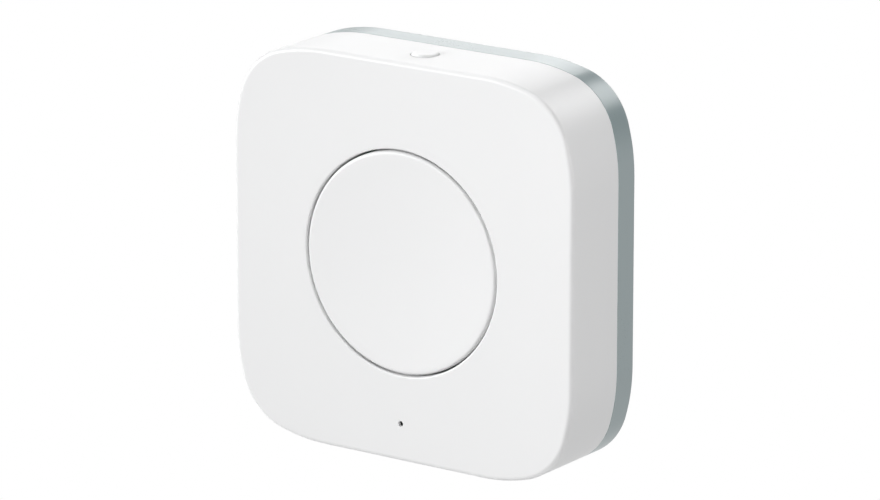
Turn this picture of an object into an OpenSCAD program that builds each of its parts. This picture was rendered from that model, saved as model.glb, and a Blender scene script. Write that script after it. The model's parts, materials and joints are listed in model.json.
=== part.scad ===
// Wireless smart button: a two-shell, rounded-square casing with a large dished push button,
// a small reset button on its top side and a coin-cell radio board inside.
// Every piece is drawn lying on its back: z = 0 is the rear face, +z points to the front face
// and +y to the top side. place() then stands the assembly up, with its front towards -Y.

/* [Casing] */
// Width and height of the casing
case_w = 45; // [42:0.5:60]
// Depth from the front face to the rear face
case_depth = 12; // [10.8:0.1:15]
// Depth of the white front shell, from the front face to the seam
front_depth = 8.8; // [8.2:0.1:9.6]
// Thickness of the side walls
wall = 1.8; // [1.5:0.1:2.2]
// Thickness of the front panel
front_wall = 1.6; // [1.3:0.1:2]
// Thickness of the rear panel
rear_wall = 1.6; // [1.4:0.1:2]
// Radius of the tight arc in the middle of each corner
corner_r = 7.6; // [6:0.2:10]
// Radius of the wide arcs that lead into each corner
corner_blend_r = 21; // [16:0.5:28]
// Rounding of the front edge
front_edge_r = 0.5; // [0.3:0.05:1]
// Rounding of the rear edge
rear_edge_r = 0.2; // [0.1:0.05:1.2]
// Height of the rear shell's tongue above the seam
tongue_h = 1.6; // [1:0.1:2.2]
// Thickness of the tongue
tongue_t = 0.8; // [0.6:0.05:1]
// Clearance between pieces that are put together
fit_gap = 0.1; // [0.05:0.01:0.15]

/* [Main button] */
// Diameter of the round button
button_d = 25; // [20:0.5:27]
// Gap between the button and its opening
button_gap = 0.2; // [0.15:0.01:0.3]
// Thickness of the button's plate
button_t = 1.6; // [1.3:0.1:1.9]
// Depth of the dish in the button's face
button_dish = 0.3; // [0.1:0.05:0.5]
// Rounding of the button's edge
button_edge_r = 0.35; // [0.2:0.05:0.5]
// Rounding of the opening's edge
opening_edge_r = 0.2; // [0.1:0.05:0.4]
// How far the button travels when pressed
button_travel = 0.3; // [0.2:0.05:0.4]
// Depth of the button's skirt below its plate
skirt_h = 1.5; // [1:0.1:2]
// Thickness of the skirt
skirt_t = 1; // [0.7:0.1:1.4]
// Width of each retaining lug
lug_w = 5; // [3:0.5:7]
// Thickness of each retaining lug
lug_t = 0.8; // [0.6:0.1:1.1]
// How far a lug reaches past the opening
lug_reach = 1.5; // [1:0.1:2]
// Thickness of the collar round the opening
collar_t = 1; // [0.8:0.1:1.4]
// Height of the collar behind the front panel
collar_h = 2; // [1.4:0.1:2.4]
// Diameter of the pusher in the middle of the button
pusher_d = 4; // [3:0.2:5]

/* [Reset button] */
// Diameter of the reset button
reset_d = 3; // [2.4:0.1:3.4]
// Gap between the reset button and its hole
reset_gap = 0.1; // [0.06:0.01:0.15]
// Height of the reset button above the top side
reset_proud = 0.25; // [0.1:0.05:0.5]
// Rounding of the reset button's edge
reset_edge_r = 0.2; // [0.05:0.01:0.2]
// How far the reset button travels when pressed
reset_travel = 0.25; // [0.15:0.05:0.35]
// Width of the bar that keeps the reset button in
reset_bar_w = 5; // [4.2:0.1:6]
// Thickness of that bar
reset_bar_t = 0.6; // [0.4:0.05:0.8]

/* [Indicator] */
// Diameter of the indicator's pinhole
led_hole_d = 0.6; // [0.5:0.05:1]
// Distance from the bottom edge to the pinhole
led_edge = 4.3; // [4:0.1:5]
// Diameter of the light pipe
light_pipe_d = 1.5; // [1.2:0.1:1.8]
// Depth of the pinhole in front of the light pipe
pinhole_depth = 0.4; // [0.3:0.1:1]

/* [Battery and its door] */
// Diameter of the coin cell
cell_d = 20; // [16:0.5:21]
// Thickness of the coin cell
cell_t = 3.2; // [2.5:0.1:3.3]
// Height of the contact spring between the cell and the board
contact_h = 0.75; // [0.6:0.05:0.9]
// Clearance round the cell in its well
cell_gap = 0.3; // [0.2:0.05:0.5]
// Thickness of the well's walls
well_wall = 0.9; // [0.7:0.1:1.1]
// Thickness of the door's plate
door_t = 1; // [0.9:0.05:1.2]
// Depth of the recess that holds the door's rim
door_seat = 0.8; // [0.6:0.05:0.9]
// Width of the ledge under the door's rim
door_ledge = 1.1; // [0.9:0.1:1.4]
// Gap round the door
door_gap = 0.15; // [0.1:0.01:0.2]
// Thickness of the door's skirt
door_skirt_t = 0.6; // [0.5:0.05:0.8]
// How far a bayonet lug reaches from the skirt
bayonet_reach = 0.9; // [0.7:0.1:1.1]
// Thickness of a bayonet lug
bayonet_t = 0.8; // [0.6:0.1:1]
// Angle that a bayonet lug spans
bayonet_span = 24; // [18:1:28]
// Angle that the door turns to open
door_turn = 40; // [34:1:48]
// Length of the coin slot
slot_l = 14; // [10:0.5:18]
// Width of the coin slot
slot_w = 2.2; // [1.8:0.1:2.8]
// Depth of the coin slot
slot_depth = 0.6; // [0.4:0.05:0.65]

/* [Mounting pad] */
// Thickness of the adhesive pad
pad_t = 0.8; // [0.6:0.1:1.2]
// How far the pad stands out of the rear face
pad_proud = 0.4; // [0.2:0.05:0.5]
// Bare rim between the pad and what is next to it
pad_margin = 1.2; // [0.8:0.1:1.6]

/* [Board] */
// Thickness of the circuit board
board_t = 1; // [0.8:0.1:1.2]
// Gap between the board and the casing's walls
board_gap = 0.4; // [0.3:0.05:0.6]
// Diameter of the screws' shanks
screw_d = 1.6; // [1.4:0.1:1.8]
// Length of the screws' shanks
screw_l = 4; // [3:0.5:4.5]
// Diameter of the screws' heads
screw_head_d = 3; // [2.6:0.1:3.4]
// Height of the screws' heads
screw_head_h = 0.9; // [0.7:0.1:1]
// Diameter of the screw bosses
boss_d = 3.8; // [3.4:0.1:4.4]

/* [Main switch] */
// Side of the main switch's square body
switch_w = 6; // [5:0.2:6.6]
// Height of its body
switch_body_h = 2; // [1.8:0.1:2.8]
// Height of its plunger above the body
switch_plunger_h = 0.6; // [0.5:0.05:0.8]
// Diameter of its plunger
switch_plunger_d = 3.4; // [3:0.1:3.8]

/* [Reset switch] */
// Width of the reset switch
side_switch_w = 5; // [4.4:0.1:6]
// Depth of its body behind the plunger
side_switch_l = 3; // [2.6:0.1:3.4]
// Height of its body
side_switch_h = 2.4; // [2.2:0.1:2.6]
// Height of its plunger's axis above the board
side_switch_axis = 1.3; // [1.25:0.05:1.4]
// Length of its plunger outside the body
side_switch_reach = 0.8; // [0.6:0.05:1]

/* [Hidden] */
$fn = 96;
// Fine facets for the very large circle of the dish
dish_fn = 1024;
// Overlap that makes cuts clean and unions sound
eps = 0.4;
// Clearance of faces that move past each other
slide_gap = 0.05;
// Width of the strip that is swept round a slab's edge
strip = 2.4;
// How far the core that ties an outline's sectors together stays inside it
core_margin = 0.5;
// Clearance between components on the board, and from the screw bosses
part_gap = 0.8;

half = case_w / 2;
total_depth = case_depth + pad_proud;
wall_in = half - wall;
z_panel = case_depth - front_wall;
z_seam = case_depth - front_depth;
lip_t = wall - tongue_t - fit_gap;

// Each wide arc turns through the small angle of a 7-24-25 triangle, so that the arcs'
// centres are round numbers and the arcs meet exactly
blend_sin = 7 / 25;
blend_cos = 24 / 25;
// Centres of a corner's arcs, and half the length of a straight side
blend_c = half - corner_blend_r;
arc_step = corner_blend_r - corner_r;
corner_c = blend_c + arc_step * blend_cos;
side_half = corner_c - arc_step * blend_sin;

// Heights of the stack, from the door up to the main button
cell_z = door_t + fit_gap;
board_z = cell_z + cell_t + contact_h;
board_front = board_z + board_t;
plunger_tip = board_front + switch_body_h + switch_plunger_h;

// Radii of the main button and its opening
button_r = button_d / 2;
opening_r = button_r + button_gap;
collar_r = opening_r + collar_t;
button_under = case_depth - button_t;
lug_top = z_panel - slide_gap;
lug_angles = [90, 210, 330];
button_rib_t = 0.8;
button_rib_h = 0.5;
front_rib_t = 0.8;
front_rib_h = 1;
// Flat land between the dish and the rounded edge
dish_land = 0.2;
dish_r = button_r - button_edge_r - dish_land;
dish_sphere_r = (dish_r * dish_r + button_dish * button_dish) / (2 * button_dish);

// Radii of the battery well and the door, from the cell outwards
cell_r = cell_d / 2;
well_r = cell_r + cell_gap;
well_out = well_r + well_wall;
door_skirt_in = well_out + door_gap;
door_skirt_out = door_skirt_in + door_skirt_t;
door_hole_r = door_skirt_out + door_gap;
door_r = door_hole_r + door_ledge;
door_recess_r = door_r + door_gap;
bayonet_r = door_skirt_out + bayonet_reach;
chamber_r = bayonet_r + cell_gap;
chamber_out = chamber_r + well_wall;
bayonet_z = rear_wall + fit_gap;
bayonet_end = bayonet_z + bayonet_t;
door_skirt_end = bayonet_end + fit_gap;
// Room between the well's roof and the board
well_board_gap = 0.4;
well_top = board_z - well_board_gap;
bayonet_angles = [30, 150, 270];
// Play of a bayonet lug in its notch, in degrees on each side
notch_play = 2;
door_rim_t = door_seat - slide_gap;

// Adhesive ring round the door
pad_in_r = door_recess_r + pad_margin;
pad_out_r = half - rear_edge_r - pad_margin;

// Reset button and its switch, from the top wall inwards
reset_r = reset_d / 2;
reset_z = board_front + side_switch_axis;
// Room between the bar and the board
reset_bar_gap = 0.3;
reset_bar_h = 2 * (side_switch_axis - reset_bar_gap);
reset_stem_l = 0.6;
// Notch in the board that the pressed button moves into
reset_notch = reset_travel + board_gap;
reset_bar_y = wall_in - slide_gap - reset_bar_t;
reset_tip_y = reset_bar_y - reset_stem_l;
side_switch_y = reset_tip_y - side_switch_reach;

// Indicator
led_y = led_edge - half;
led_w = 1.6;
led_d = 0.8;
led_h = 0.6;
led_lens_w = 1.04;
// Room between the lamp and the light pipe's rim
led_gap = 0.2;
light_pipe_r = light_pipe_d / 2;
light_tube_t = 0.8;
light_tube_r = light_pipe_r + light_tube_t;
light_rim_t = 0.3;
light_tube_z = board_front + led_h + led_gap + light_rim_t;

// Board fixings
board_inset = wall + board_gap;
post_y = (chamber_out + wall_in) / 2;
post_r = 1.1;
boss_r = boss_d / 2;
screw_r = screw_d / 2;
screw_gap = 0.2;
screw_end = board_z + screw_l;
pilot_end = screw_end + screw_d / 4;

// Snap hooks on the left and right walls
hook_y = side_half - 1.2;
hook_w = 5;
hook_t = 0.8;
hook_top = board_front + 2;
hook_barb_h = 1.2;
hook_barb = 0.5;
// Flat end of the barb below its slope
hook_flat = 0.3;
hook_gap = 0.15;

// Levels inside the switches; a pressed dome keeps dome_rest of its height
dome_t = 0.1;
dome_rest = 0.15;
dome_gap = 0.1;
dome_h = button_travel + dome_rest;
switch_cover_h = 1.1;
switch_roof_t = 0.3;
switch_floor_h = 0.6;
switch_shoulder = 0.5;
switch_foot_d = 1.8;
switch_flange_t = 0.4;
switch_top = board_front + switch_body_h;
switch_base_top = switch_top - switch_cover_h;
switch_ceiling = switch_top - switch_roof_t;
switch_floor = board_front + switch_floor_h;
switch_plunger_r = switch_plunger_d / 2;
switch_pocket_r = switch_plunger_r + switch_shoulder;
switch_flange_r = switch_pocket_r - dome_gap;
side_dome_h = reset_travel + dome_rest;
side_slot_h = 1.2;
side_slot_w = 2.6;
side_pocket_l = 1.6;
side_cover_t = 0.15;
side_cover_hole_r = 0.4;

// Legs of the switches
leg_t = 0.2;
leg_rise = 0.7;
switch_leg_w = 0.8;
switch_leg_pitch = 4;
switch_foot_l = 1.2;
side_leg_w = 0.6;
side_leg_pitch = 1.8;
side_foot_l = 0.9;

// Components, each placed from the chip, the switch or the furthest line clear of the bosses
parts_edge = corner_c - boss_r - part_gap;
chip_w = 6;
chip_h = 0.85;
chip_at = [parts_edge - chip_w / 2, chip_w / 2 - parts_edge];
crystal_l = 3.2;
crystal_w = 2.5;
crystal_base_h = 0.3;
crystal_lid_h = 0.45;
crystal_step = 0.15;
crystal_at = chip_at + [(chip_w + crystal_l) / 2, (chip_w + crystal_w) / 2 + part_gap];
small_cap_l = 1;
small_cap_w = 0.5;
small_cap_h = 0.5;
small_cap_pitch = 1.5;
small_cap_x = chip_at.x - (chip_w + small_cap_w) / 2 - part_gap;
large_cap_l = 1.6;
large_cap_w = 0.8;
large_cap_h = 0.8;
large_cap_pitch = 2.4;
large_cap_y = chip_at.y - (chip_w + large_cap_w) / 2 - part_gap;
resistor_l = 1;
resistor_w = 0.5;
resistor_h = 0.35;
resistor_pitch = 1.6;
bulk_l = 3.5;
bulk_w = 2.8;
bulk_h = 1.7;
bulk_at = [-(switch_w + bulk_l) / 2 - switch_foot_l - part_gap, (switch_w + bulk_w) / 2 + part_gap];

// Folded copper antenna
antenna_t = 0.07;
antenna_line = 0.6;
antenna_pitch = 1.3;
antenna_turns = 4;
antenna_reach = 3.6;
antenna_edge = 0.6;

// Contacts and the coin cell's shells
contact_t = 0.2;
contact_w = 4;
contact_side_gap = 0.5;
contact_end = 7;
contact_knee = 4.8;
contact_crest = 1.8;
contact_foot_gap = 0.6;
cell_skin = 0.25;
cell_edge_r = 0.3;
cell_land = 1.15;
cell_cap_r = cell_r - cell_land;
cell_rim = 0.2;

// Stands the assembly up on its bottom side, centred on the origin
module place() {
    translate([0, total_depth / 2 - pad_proud, half]) rotate([90, 0, 0]) children();
}

// Sector of a corner's wide arc, seen from the arc's centre
module wide_sector() {
    far = 2 * corner_blend_r;
    polygon([[0, 0], [far, 0], [far * blend_cos, far * blend_sin]]);
}

// Sector of a corner's tight arc, seen from the arc's centre
module tight_sector() {
    far = 2 * corner_r;
    polygon([[0, 0], [far * blend_cos, far * blend_sin], [far, far], [far * blend_sin, far * blend_cos]]);
}

// Area inside one wide arc
module wide_area(inset) {
    translate([blend_c, side_half]) intersection() {
        circle(corner_blend_r - inset);
        wide_sector();
    }
}

// Corner of the core that ties the sectors of an outline together
module core_corner(inset) {
    r = corner_r - inset - core_margin;
    side = half - inset - core_margin;
    polygon([
        [0, 0], [side, 0], [side, side_half], [corner_c + r * blend_cos, corner_c + r * blend_sin],
        [corner_c + r * blend_sin, corner_c + r * blend_cos], [side_half, side], [0, side]
    ]);
}

// Area inside the casing's outline, moved inwards by inset
module outline(inset) {
    for (turn = [0 : 90 : 270])
        rotate(turn) {
            translate([0, -side_half]) square([half - inset, 2 * side_half]);
            core_corner(inset);
            wide_area(inset);
            mirror([1, -1]) wide_area(inset);
            translate([corner_c, corner_c]) intersection() {
                circle(corner_r - inset);
                tight_sector();
            }
        }
}

// Sweeps a profile along one wide arc
module wide_sweep() {
    translate([blend_c, side_half, 0]) intersection() {
        rotate_extrude() translate([corner_blend_r, 0]) children();
        linear_extrude(4 * case_w, center = true) wide_sector();
    }
}

// Sweeps a profile along the casing's outline; its x runs outwards from the outline
module along_outline() {
    for (turn = [0 : 90 : 270])
        rotate(turn) {
            translate([half, 0, 0])
                rotate([90, 0, 0])
                    linear_extrude(2 * side_half, center = true) children();
            wide_sweep() children();
            mirror([1, -1, 0]) wide_sweep() children();
            translate([corner_c, corner_c, 0]) intersection() {
                rotate_extrude() translate([corner_r, 0]) children();
                linear_extrude(4 * case_w, center = true) tight_sector();
            }
        }
}

// What a rounding of radius r takes off a square corner at the origin
module rounding(r) {
    difference() {
        translate([-r, -r]) square(r + eps);
        translate([-r, -r]) circle(r);
    }
}

// Section of a slab next to its outline, with rounded outer corners
module edge_section(z0, z1, r0, r1) {
    difference() {
        translate([-strip, z0]) square([strip, z1 - z0]);
        if (r1 > 0) translate([0, z1]) rounding(r1);
        if (r0 > 0) translate([0, z0]) mirror([0, 1]) rounding(r0);
    }
}

// Solid of the casing's outline, moved inwards by inset, between two heights
module slab(inset, z0, z1) {
    translate([0, 0, z0]) linear_extrude(z1 - z0) outline(inset);
}

// Solid of the casing's outline with rounded rear and front edges
module rounded_slab(z0, z1, r0, r1) {
    along_outline() edge_section(z0, z1, r0, r1);
    slab(strip / 2, z0, z1);
}

module ring(r_in, r_out, z0, z1) {
    rotate_extrude() translate([r_in, z0]) square([r_out - r_in, z1 - z0]);
}

module disc(r, z0, z1) {
    translate([0, 0, z0]) cylinder(r = r, h = z1 - z0);
}

// Part of a ring, centred on an angle
module ring_part(r_in, r_out, z0, z1, middle, span) {
    rotate(middle - span / 2)
        rotate_extrude(angle = span) translate([r_in, z0]) square([r_out - r_in, z1 - z0]);
}

// Box centred in x and y, between two heights
module block(w, l, z0, z1) {
    translate([-w / 2, -l / 2, z0]) cube([w, l, z1 - z0]);
}

module at_corners() {
    for (sx = [-1, 1], sy = [-1, 1]) translate([sx * corner_c, sy * corner_c, 0]) children();
}

module at_hooks() {
    for (turn = [0, 180], sy = [-1, 1]) rotate(turn) translate([wall_in, sy * hook_y, 0]) children();
}

// Puts what is drawn along +z, from the outside of the top wall inwards, on the reset button's axis
module on_reset_axis() {
    translate([0, half, reset_z]) rotate([90, 0, 0]) children();
}

// Cut for the main button, with a rounded mouth
module opening_cut() {
    mouth_r = opening_r + opening_edge_r;
    mouth_z = case_depth - opening_edge_r;
    rotate_extrude() {
        translate([0, z_panel - eps]) square([opening_r, front_wall + 2 * eps]);
        difference() {
            translate([opening_r - eps, mouth_z]) square(opening_edge_r + eps);
            translate([mouth_r, mouth_z]) circle(opening_edge_r);
        }
    }
}

// White front shell: panel, walls, collar of the button, screw bosses, tube of the indicator
module front_case() {
    color("white") place() difference() {
        union() {
            difference() {
                rounded_slab(z_seam, case_depth, 0, front_edge_r);
                slab(wall, z_seam - eps, z_panel);
                slab(lip_t, z_seam - eps, z_seam + tongue_h + fit_gap);
            }
            difference() {
                ring(opening_r, collar_r, z_panel - collar_h, z_panel + eps);
                for (a = lug_angles)
                    rotate(a)
                        translate([opening_r, 0, 0])
                            block(4 * collar_t, lug_w + 2 * button_gap, z_seam, z_panel);
            }
            at_corners() disc(boss_r, board_front, z_panel + eps);
            for (turn = [45 : 90 : 315])
                rotate(turn)
                    translate([collar_r - collar_t / 2, -front_rib_t / 2, z_panel - front_rib_h])
                        cube([corner_c * sqrt(2) - collar_r, front_rib_t, front_rib_h + eps]);
            translate([0, led_y, 0]) disc(light_tube_r, light_tube_z, z_panel + eps);
        }
        opening_cut();
        at_corners() disc(screw_r + slide_gap / 2, board_front - eps, pilot_end);
        translate([0, led_y, 0]) {
            disc(led_hole_d / 2, z_panel, case_depth + eps);
            disc(light_pipe_r + slide_gap, light_tube_z - eps, case_depth - pinhole_depth);
        }
        on_reset_axis() disc(reset_r + reset_gap, -eps, wall + eps);
        at_hooks()
            block(2 * (hook_barb + hook_gap), hook_w + 2 * hook_gap,
                  hook_top - hook_barb_h - hook_gap, hook_top + hook_gap);
    }
}

// Round push button: dished plate, skirt, pusher, ribs and three retaining lugs
module button_cap() {
    color("white") place() {
        rotate_extrude() difference() {
            union() {
                translate([0, button_under]) square([button_r, button_t]);
                translate([button_r - skirt_t, button_under - skirt_h])
                    square([skirt_t, skirt_h + eps]);
                translate([0, plunger_tip]) square([pusher_d / 2, button_under - plunger_tip + eps]);
            }
            translate([button_r, case_depth]) rounding(button_edge_r);
            translate([0, case_depth - button_dish + dish_sphere_r])
                circle(dish_sphere_r, $fn = dish_fn);
        }
        for (a = lug_angles)
            rotate(a)
                translate([button_r - skirt_t / 2, -lug_w / 2, lug_top - lug_t])
                    cube([skirt_t / 2 + button_gap + lug_reach, lug_w, lug_t]);
        for (a = lug_angles)
            rotate(a + 60)
                translate([pusher_d / 2 - eps, -button_rib_t / 2, button_under - button_rib_h])
                    cube([button_r - skirt_t - pusher_d / 2 + 2 * eps, button_rib_t, button_rib_h + eps]);
    }
}

// Small round button in the top wall, kept in by a bar
module reset_button() {
    color("white") place() {
        on_reset_axis() rotate_extrude() difference() {
            translate([0, -reset_proud]) square([reset_r, reset_proud + wall + 2 * slide_gap]);
            translate([reset_r, -reset_proud]) mirror([0, 1]) rounding(reset_edge_r);
        }
        translate([-reset_bar_w / 2, reset_bar_y, reset_z - reset_bar_h / 2])
            cube([reset_bar_w, reset_bar_t, reset_bar_h]);
        translate([0, reset_bar_y + eps / 2, reset_z])
            rotate([90, 0, 0])
                cylinder(d = reset_bar_h, h = reset_stem_l + eps / 2);
    }
}

// Clear stepped rod that carries the indicator's light to the pinhole
module light_pipe() {
    color("gainsboro", 0.6) place() translate([0, led_y, 0]) {
        disc(light_pipe_r, light_tube_z - light_rim_t, case_depth - pinhole_depth - slide_gap);
        disc(light_tube_r, light_tube_z - light_rim_t, light_tube_z);
    }
}

// Wall round the door's bayonet and the cell: a revolved, upside-down channel
module battery_well() {
    difference() {
        union() {
            ring(chamber_r, chamber_out, rear_wall - eps, well_top);
            ring(well_r, chamber_out, well_top - well_wall, well_top);
            ring(well_r, well_out, rear_wall, well_top);
        }
        translate([-well_r, 0, 0])
            block(2 * (well_wall + cell_gap), contact_w + 2 * contact_side_gap,
                  rear_wall, well_top + eps);
    }
}

// Flexible arm with a barb that holds the two shells together
module snap_hook() {
    translate([-hook_gap - hook_t / 2, 0, 0]) block(hook_t, hook_w, rear_wall - eps, hook_top);
    translate([-hook_gap - hook_t / 2, hook_w / 2, hook_top])
        rotate([90, 0, 0])
            linear_extrude(hook_w)
                polygon([
                    [0, 0],
                    [hook_t / 2, 0],
                    [hook_t / 2 + hook_gap + hook_barb, -hook_barb_h + hook_flat],
                    [hook_t / 2 + hook_gap + hook_barb, -hook_barb_h],
                    [0, -hook_barb_h]
                ]);
}

// Grey-green rear shell: panel, walls, tongue, battery well, posts and hooks
module rear_case() {
    color("darkslategray") place() difference() {
        union() {
            difference() {
                rounded_slab(0, z_seam, rear_edge_r, 0);
                slab(wall, rear_wall, z_seam + eps);
            }
            difference() {
                slab(lip_t + fit_gap, z_seam - eps, z_seam + tongue_h);
                slab(wall, z_seam - 2 * eps, z_seam + tongue_h + eps);
            }
            battery_well();
            for (turn = [0 : 90 : 270])
                rotate(turn) translate([post_y, 0, 0]) disc(post_r, rear_wall - eps, board_z);
            at_hooks() snap_hook();
        }
        disc(door_recess_r, -eps, door_seat);
        disc(door_hole_r, 0, rear_wall + eps / 2);
        for (a = bayonet_angles)
            ring_part(door_skirt_in, bayonet_r + door_gap, 0, rear_wall + eps / 2,
                      a - door_turn, bayonet_span + 2 * notch_play);
        ring(pad_in_r, pad_out_r, -eps, pad_t - pad_proud);
    }
}

// Round battery door with a coin slot, a skirt and three bayonet lugs
module battery_door() {
    color("darkslategray") place() difference() {
        union() {
            disc(door_r, 0, door_rim_t);
            disc(door_skirt_out, 0, door_t);
            ring(door_skirt_in, door_skirt_out, 0, door_skirt_end);
            for (a = bayonet_angles)
                ring_part(door_skirt_in + door_skirt_t / 2, bayonet_r, bayonet_z, bayonet_end,
                          a, bayonet_span);
        }
        coin_slot();
    }
}

// Coin slot with round ends
module coin_slot() {
    block(slot_l - slot_w, slot_w, -eps, slot_depth);
    for (s = [-1, 1]) translate([s * (slot_l - slot_w) / 2, 0, 0]) disc(slot_w / 2, -eps, slot_depth);
}

// Ring of double-sided foam tape
module adhesive_pad() {
    color("whitesmoke") place()
        ring(pad_in_r + fit_gap, pad_out_r - fit_gap, -pad_proud, pad_t - pad_proud);
}

// Board with clearance for the screws and the snap hooks
module circuit_board() {
    color("darkgreen") place() difference() {
        slab(board_inset, board_z, board_front);
        at_corners() disc(screw_r + screw_gap, board_z - eps, board_front + eps);
        at_hooks()
            block(2 * (2 * hook_gap + hook_t), hook_w + 2 * board_gap, board_z - eps, board_front + eps);
        translate([0, half - board_inset, 0])
            block(reset_bar_w + 2 * board_gap, 2 * reset_notch, board_z - eps, board_front + eps);
    }
}

// Four pan-head screws that hold the board to the front shell
module board_screws() {
    color("silver") place() at_corners() {
        disc(screw_head_d / 2, board_z - screw_head_h, board_z);
        disc(screw_r, board_z - eps, screw_end);
    }
}

module main_switch_base() {
    color("dimgray") place() difference() {
        block(switch_w, switch_w, board_front, switch_base_top);
        disc(switch_pocket_r, switch_floor, switch_base_top + eps);
    }
}

module main_switch_cover() {
    color("silver") place() difference() {
        block(switch_w, switch_w, switch_base_top, switch_top);
        disc(switch_pocket_r, switch_base_top - eps, switch_ceiling);
        disc(switch_plunger_r + slide_gap, switch_base_top, switch_top + eps);
    }
}

// Shallow spring-steel dome, as a turned section
module dome(r, h, t) {
    sphere_r = (r * r + h * h) / (2 * h);
    rotate_extrude() intersection() {
        square([r, h]);
        difference() {
            translate([0, h - sphere_r]) circle(sphere_r, $fn = 360);
            translate([0, h - sphere_r]) circle(sphere_r - t, $fn = 360);
        }
    }
}

module main_switch_dome() {
    color("gold") place()
        translate([0, 0, switch_floor]) dome(switch_pocket_r - dome_gap, dome_h, dome_t);
}

module main_switch_plunger() {
    color("dimgray") place() {
        disc(switch_plunger_r, switch_ceiling - switch_flange_t / 2, plunger_tip);
        disc(switch_flange_r, switch_ceiling - switch_flange_t, switch_ceiling - slide_gap / 2);
        disc(switch_foot_d / 2, switch_floor + dome_h, switch_ceiling - switch_flange_t / 2);
    }
}

// Bent legs at two opposite sides of a switch, standing on the board
module legs(body_w, pitch, leg_w, foot_l) {
    for (s = [-1, 1], t = [-1, 1])
        translate([s * body_w / 2, t * pitch / 2, board_front]) rotate(s > 0 ? 0 : 180) {
            block_from(0, leg_t, leg_w, 0, leg_rise);
            block_from(0, foot_l, leg_w, 0, leg_t);
        }
}

// Box from x0 to x1, centred in y, between two heights
module block_from(x0, x1, w, z0, z1) {
    translate([x0, -w / 2, z0]) cube([x1 - x0, w, z1 - z0]);
}

module main_switch_terminals() {
    color("silver") place() legs(switch_w, switch_leg_pitch, switch_leg_w, switch_foot_l);
}

// Side-acting reset switch behind the top wall
module at_side_switch() {
    translate([0, side_switch_y, board_front]) children();
}

module reset_switch_base() {
    color("dimgray") place() at_side_switch() difference() {
        translate([-side_switch_w / 2, -side_switch_l, 0])
            cube([side_switch_w, side_switch_l, side_switch_h]);
        translate([-side_slot_w / 2 - slide_gap, -side_pocket_l,
                   side_switch_axis - side_slot_h / 2 - slide_gap])
            cube([side_slot_w + 2 * slide_gap, side_pocket_l + eps, side_slot_h + 2 * slide_gap]);
    }
}

module reset_switch_cover() {
    color("silver") place() at_side_switch() difference() {
        translate([-side_switch_w / 2, -side_switch_l, side_switch_h])
            cube([side_switch_w, side_switch_l, side_cover_t]);
        translate([0, -side_switch_l / 2, 0]) disc(side_cover_hole_r, 0, side_switch_h + eps);
    }
}

module reset_switch_dome() {
    color("gold") place() at_side_switch()
        translate([0, -side_pocket_l, side_switch_axis])
            rotate([-90, 0, 0]) dome(side_slot_h / 2, side_dome_h, dome_t);
}

module reset_switch_plunger() {
    color("ivory") place() at_side_switch()
        translate([-side_slot_w / 2, side_dome_h - side_pocket_l, side_switch_axis - side_slot_h / 2])
            cube([side_slot_w, side_pocket_l - side_dome_h + side_switch_reach, side_slot_h]);
}

module reset_switch_terminals() {
    color("silver") place()
        translate([0, side_switch_y - side_switch_l / 2, 0])
            legs(side_switch_w, side_leg_pitch, side_leg_w, side_foot_l);
}

module on_board(at) {
    translate([at.x, at.y, board_front]) children();
}

// Radio chip in a flat square package
module radio_chip() {
    color("black") place() on_board(chip_at) block(chip_w, chip_w, 0, chip_h);
}

module crystal() {
    color("silver") place() on_board(crystal_at) {
        block(crystal_l, crystal_w, 0, crystal_base_h);
        block(crystal_l - 2 * crystal_step, crystal_w - 2 * crystal_step, crystal_base_h,
              crystal_base_h + crystal_lid_h);
    }
}

// Folded copper antenna along the left edge of the board
module antenna_trace() {
    color("goldenrod") place() translate([board_inset + antenna_edge - half, 0, board_front]) {
        for (i = [-antenna_turns : antenna_turns])
            translate([0, i * antenna_pitch - antenna_line / 2, 0])
                cube([antenna_reach, antenna_line, antenna_t]);
        for (i = [-antenna_turns : antenna_turns - 1])
            translate([i % 2 == 0 ? 0 : antenna_reach - antenna_line, i * antenna_pitch, 0])
                cube([antenna_line, antenna_pitch, antenna_t]);
    }
}

module status_led() {
    color("lightyellow") place() translate([0, led_y, board_front]) {
        block(led_w, led_d, 0, led_h / 2);
        block(led_lens_w, led_d, led_h / 2, led_h);
    }
}

// Chip capacitors: four beside the radio chip and two below it
module capacitors() {
    color("tan") place() {
        for (i = [-1.5 : 1.5])
            on_board([small_cap_x, chip_at.y + i * small_cap_pitch])
                block(small_cap_w, small_cap_l, 0, small_cap_h);
        for (i = [-0.5 : 0.5])
            on_board([chip_at.x + i * large_cap_pitch, large_cap_y])
                block(large_cap_l, large_cap_w, 0, large_cap_h);
    }
}

// Row of chip resistors in the lower left corner
module resistors() {
    color("black") place()
        for (i = [0 : 3])
            on_board([resistor_w / 2 - parts_edge + i * resistor_pitch, resistor_l / 2 - parts_edge])
                block(resistor_w, resistor_l, 0, resistor_h);
}

module bulk_capacitor() {
    color("orange") place() on_board(bulk_at) block(bulk_l, bulk_w, 0, bulk_h);
}

// Arched leaf under the middle of the cell
module negative_contact() {
    base = board_z;
    crest = cell_z + cell_t;
    color("silver") place()
        translate([0, contact_w / 2, 0])
            rotate([90, 0, 0])
                linear_extrude(contact_w)
                    polygon([
                        [-contact_end, base], [-contact_knee, base],
                        [-contact_crest, crest + contact_t], [contact_crest, crest + contact_t],
                        [contact_knee, base], [contact_end, base],
                        [contact_end, base - contact_t], [contact_knee + contact_t, base - contact_t],
                        [contact_crest + contact_t, crest], [-contact_crest - contact_t, crest],
                        [-contact_knee - contact_t, base - contact_t], [-contact_end, base - contact_t]
                    ]);
}

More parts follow.
